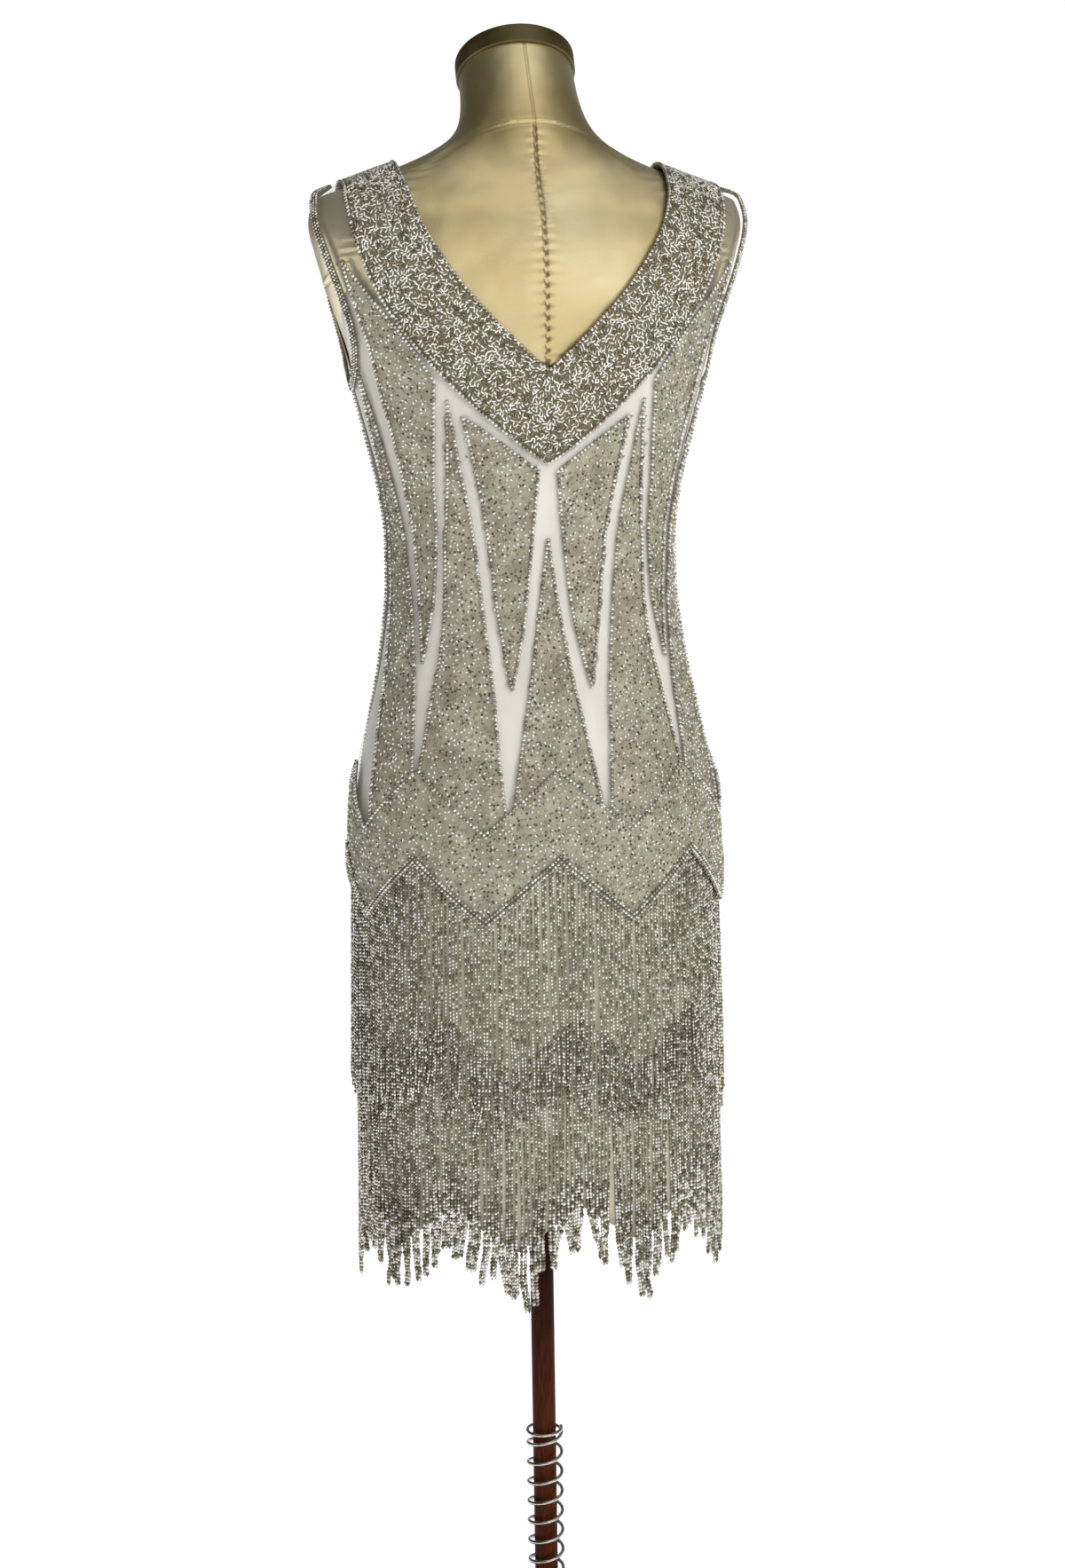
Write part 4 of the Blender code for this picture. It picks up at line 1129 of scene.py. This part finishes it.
for name, side in (("hem_rope_back", BACK), ("hem_rope_front", FRONT)):
    angles = half_angles(side, 65)
    edge = zigzag(angles, HEM_PEAK, HEM_POINT)
    tape = np.array([around(angles, edge + lift, hem_out) for lift in (0.2 * MM, HEM_ROPE_WIDTH - 0.2 * MM)])
    tape = mirrored(tape)
    tape_piece = add_piece(name + "_tape", panel_mesh(name + "_tape", tape, side), tape_net)
    walled(tape_piece, 0.6 * MM)
    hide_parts(name)
    lines = []
    for lift in (1.6 * MM, 6.2 * MM):
        path = np.array([around(angles, edge + lift, hem_out + 1.3 * MM)])
        lines.append(evenly(mirrored(path)[0], 3.3 * MM))
    rope = string_beads(name + "_beads", lines, 31 if side == BACK else 32, (ROPE_BEAD, 3.4 * MM))
    bodice_pieces[side][1].extend([tape_piece, rope])

# ----------------------------
# The neck bands: a thick V of net back and front, its face packed with short silver bugles laid at random
# and each edge finished with a bead rope. They meet in a butt seam on the shoulders.

# Band ground: taupe net between the bugles, seen only in small dark gaps.
band_net, *_ = new_finish(
    "taupe_band_net", {"Roughness": 0.65}, (300, 3.0, EVEN), ((0.3, "#574E3C"), (0.7, "#7F7660")), 0.3 * MM
)

# Silver-lined bugles: short glass tubes, some white with light and some brown with shade.
bugle_glass, *_ = new_finish(
    "silver_lined_bugles",
    {"Roughness": 0.2, "Metallic": 0.6},
    stops=((0.0, "#6E644C"), (0.25, "#ABA185"), (0.45, "#E7E2D2"), (0.65, "#FFFFF8")),
)

for name, side in (("neck_band_back", BACK), ("neck_band_front", FRONT)):
    steps = np.linspace(0, BAND_STEPS, 6 * BAND_STEPS + 1)
    inner, outer = band_line(0, side, steps), band_line(1, side, steps)
    # The band's rows run across it, so the mirrored half is a second strip joined on the centre line.
    half = between(inner, outer, BAND_COLUMNS)
    strip = np.concatenate([(half * (-1, 1, 1))[:0:-1], half])
    mesh = mesh_of(name + "_net", strip, grid_faces(*strip.shape[:2], faces_out=side == BACK))
    fill = mesh.attributes.new("inside", "FLOAT", "POINT")
    across = np.minimum(np.arange(BAND_COLUMNS), np.arange(BAND_COLUMNS)[::-1]) * 3.0
    fill.data.foreach_set("value", np.tile(across, len(strip)).astype(np.float32))
    bugles = grown(
        name + "_bugles",
        mesh,
        ON_CLOTH,
        bugle_glass,
        "silver_beads",
        seed=41 if side == BACK else 42,
        bead=(4.6 * MM, 2.0 * MM),
        facets=(4, 3),
        Spacing=2.15 * MM,
        Density=700000.0,
        Margin=1.4,
        Lift=BAND_WALL + 0.5 * MM,
    )
    band = walled(add_piece(name + "_net", mesh, band_net), BAND_WALL)
    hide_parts(name)
    lines = []
    for column in (0, -1):
        lines.append(evenly(moved_out(strip[:, column], BAND_WALL + 0.4 * MM), ROPE_PITCH))
    ropes = string_beads(name + "_edges", lines, 51 if side == BACK else 52)
    sewn_on = [bugles, ropes]

# ----------------------------
# The armhole trims: three fine bead cords side by side on a narrow tape round each armhole.

TRIM_CORDS = (1.6 * MM, 4.6 * MM, 7.6 * MM)
turns = np.radians(np.linspace(-90, 90, 90))
path = [(BACK, turns), (FRONT, turns[-2:0:-1])]


def armhole_ring(apart, lift):
    ring = np.concatenate([armhole_edge(t, side, apart) for side, t in path])
    return settle(ring, bodice_out(ring[:, 2]) + lift)


for name, mirror in (("armhole_trim_left", -1), ("armhole_trim_right", 1)):
    flip = np.array((mirror, 1, 1))
    tape = np.array([armhole_ring(apart, 0.2 * MM) for apart in (0.3 * MM, TRIM_WIDTH - 0.3 * MM)]) * flip
    mesh = mesh_of(name + "_tape", tape, grid_faces(*tape.shape[:2], closed_round=True, faces_out=mirror > 0))
    tape_piece = walled(add_piece(name + "_tape", mesh, tape_net), 0.8 * MM)
    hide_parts(name)
    lines = [evenly(armhole_ring(apart, 1.9 * MM) * flip, 2.9 * MM, closed=True) for apart in TRIM_CORDS]
    cords = string_beads(name + "_cords", lines, 61, bead=(2.8 * MM, 2.6 * MM))
    bodice_pieces[BACK][1].extend([tape_piece, cords])

for side in (BACK, FRONT):
    panel, sewn_on = bodice_pieces[side]

# ----------------------------
# The studio: a plain pale floor, a white room and soft light, the key from the right above the lens.

FLOOR_SIZE, FLOOR_GLOW = 60.0, 0.75
floor_paint, _, shader, *_ = new_finish(
    "pale_floor", {"Roughness": 0.9, "Base Color": linear("#F4F3F1"), "Emission Color": linear("#FFFFFF")}
)
shader.inputs["Emission Strength"].default_value = FLOOR_GLOW
half = FLOOR_SIZE / 2
corners = [(-half, -half, 0), (half, -half, 0), (half, half, 0), (-half, half, 0)]
floor = new_object("floor", mesh_of("floor", corners, [(0, 1, 2, 3)]))
floor.data.materials.append(floor_paint)
floor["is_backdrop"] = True

# The room is bright behind the lens and low down, dimmer above, to the left, to the right and behind the
# dress, with a bright ceiling. Columns: axis, direction and light at the start, the same at the end.
BACKDROP_LIGHT = 1.1
CEILING = ("Z", 0.75, 0.0, 1.0, 1.8)
ROOM = (
    ("Z", 0.05, 1.36, 0.45, 0.58),
    ("X", -0.65, 0.08, 0.25, 1.0),
    ("X", 0.35, 1.0, 0.8, 0.38),
    ("Y", 0.2, 0.30, -0.75, 1.0),
)
world = bpy.data.worlds.new("white_room")
world.use_nodes = True
tree = world.node_tree
direction = add_node(tree, "ShaderNodeTexCoord").outputs["Generated"]
axes = add_node(tree, "ShaderNodeSeparateXYZ", inputs={"Vector": direction}).outputs
shares = []
for axis, start, first_light, end, last_light in (CEILING, *ROOM):
    share = {"Value": axes[axis], "From Min": start, "From Max": end}
    share |= {"To Min": first_light, "To Max": last_light}
    shares.append(add_node(tree, "ShaderNodeMapRange", inputs=share))
room = add_node(tree, "ShaderNodeMath", {"operation": "ADD"}, {0: shares[1], 1: shares[0]})
for share in shares[2:]:
    room = add_node(tree, "ShaderNodeMath", {"operation": "MULTIPLY"}, {0: room, 1: share})
seen = add_node(tree, "ShaderNodeLightPath").outputs["Is Camera Ray"]
strength = add_node(tree, "ShaderNodeMix", inputs={0: seen, 2: room, 3: BACKDROP_LIGHT})
backdrop = tree.nodes["Background"]
backdrop.inputs["Color"].default_value = (1, 1, 1, 1)
tree.links.new(strength.outputs[0], backdrop.inputs["Strength"])
bpy.context.scene.world = world
bpy.context.scene.view_settings.view_transform = "Standard"

# Columns: name, kind, place, what it points at, settings.
KEY_SPREAD, SOFTBOX_SIZE = math.radians(40), 2.2
LAMPS = (
    ("key", "SUN", (0.8, -2.5, 1.2), (0, 0, 0), {"energy": 1.3, "angle": KEY_SPREAD}),
    ("softbox", "AREA", (0.4, -2.3, 2.4), (0, 0, 1.3), {"energy": 5, "size": SOFTBOX_SIZE}),
)
for name, kind, place, target, settings in LAMPS:
    lamp = new_object(name, bpy.data.lights.new(name, kind))
    for key, value in settings.items():
        setattr(lamp.data, key, value)
    lamp.location = place
    lamp.rotation_euler = (Vector(target) - Vector(place)).to_track_quat("-Z", "Y").to_euler()
    lamp.visible_glossy = kind != "SUN"  # the key lights the cloth; gold and beads mirror the room instead

sizes = {"cad": [list(map(float, c)) for c in cad_box], "visual": [list(map(float, c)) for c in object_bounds()]}
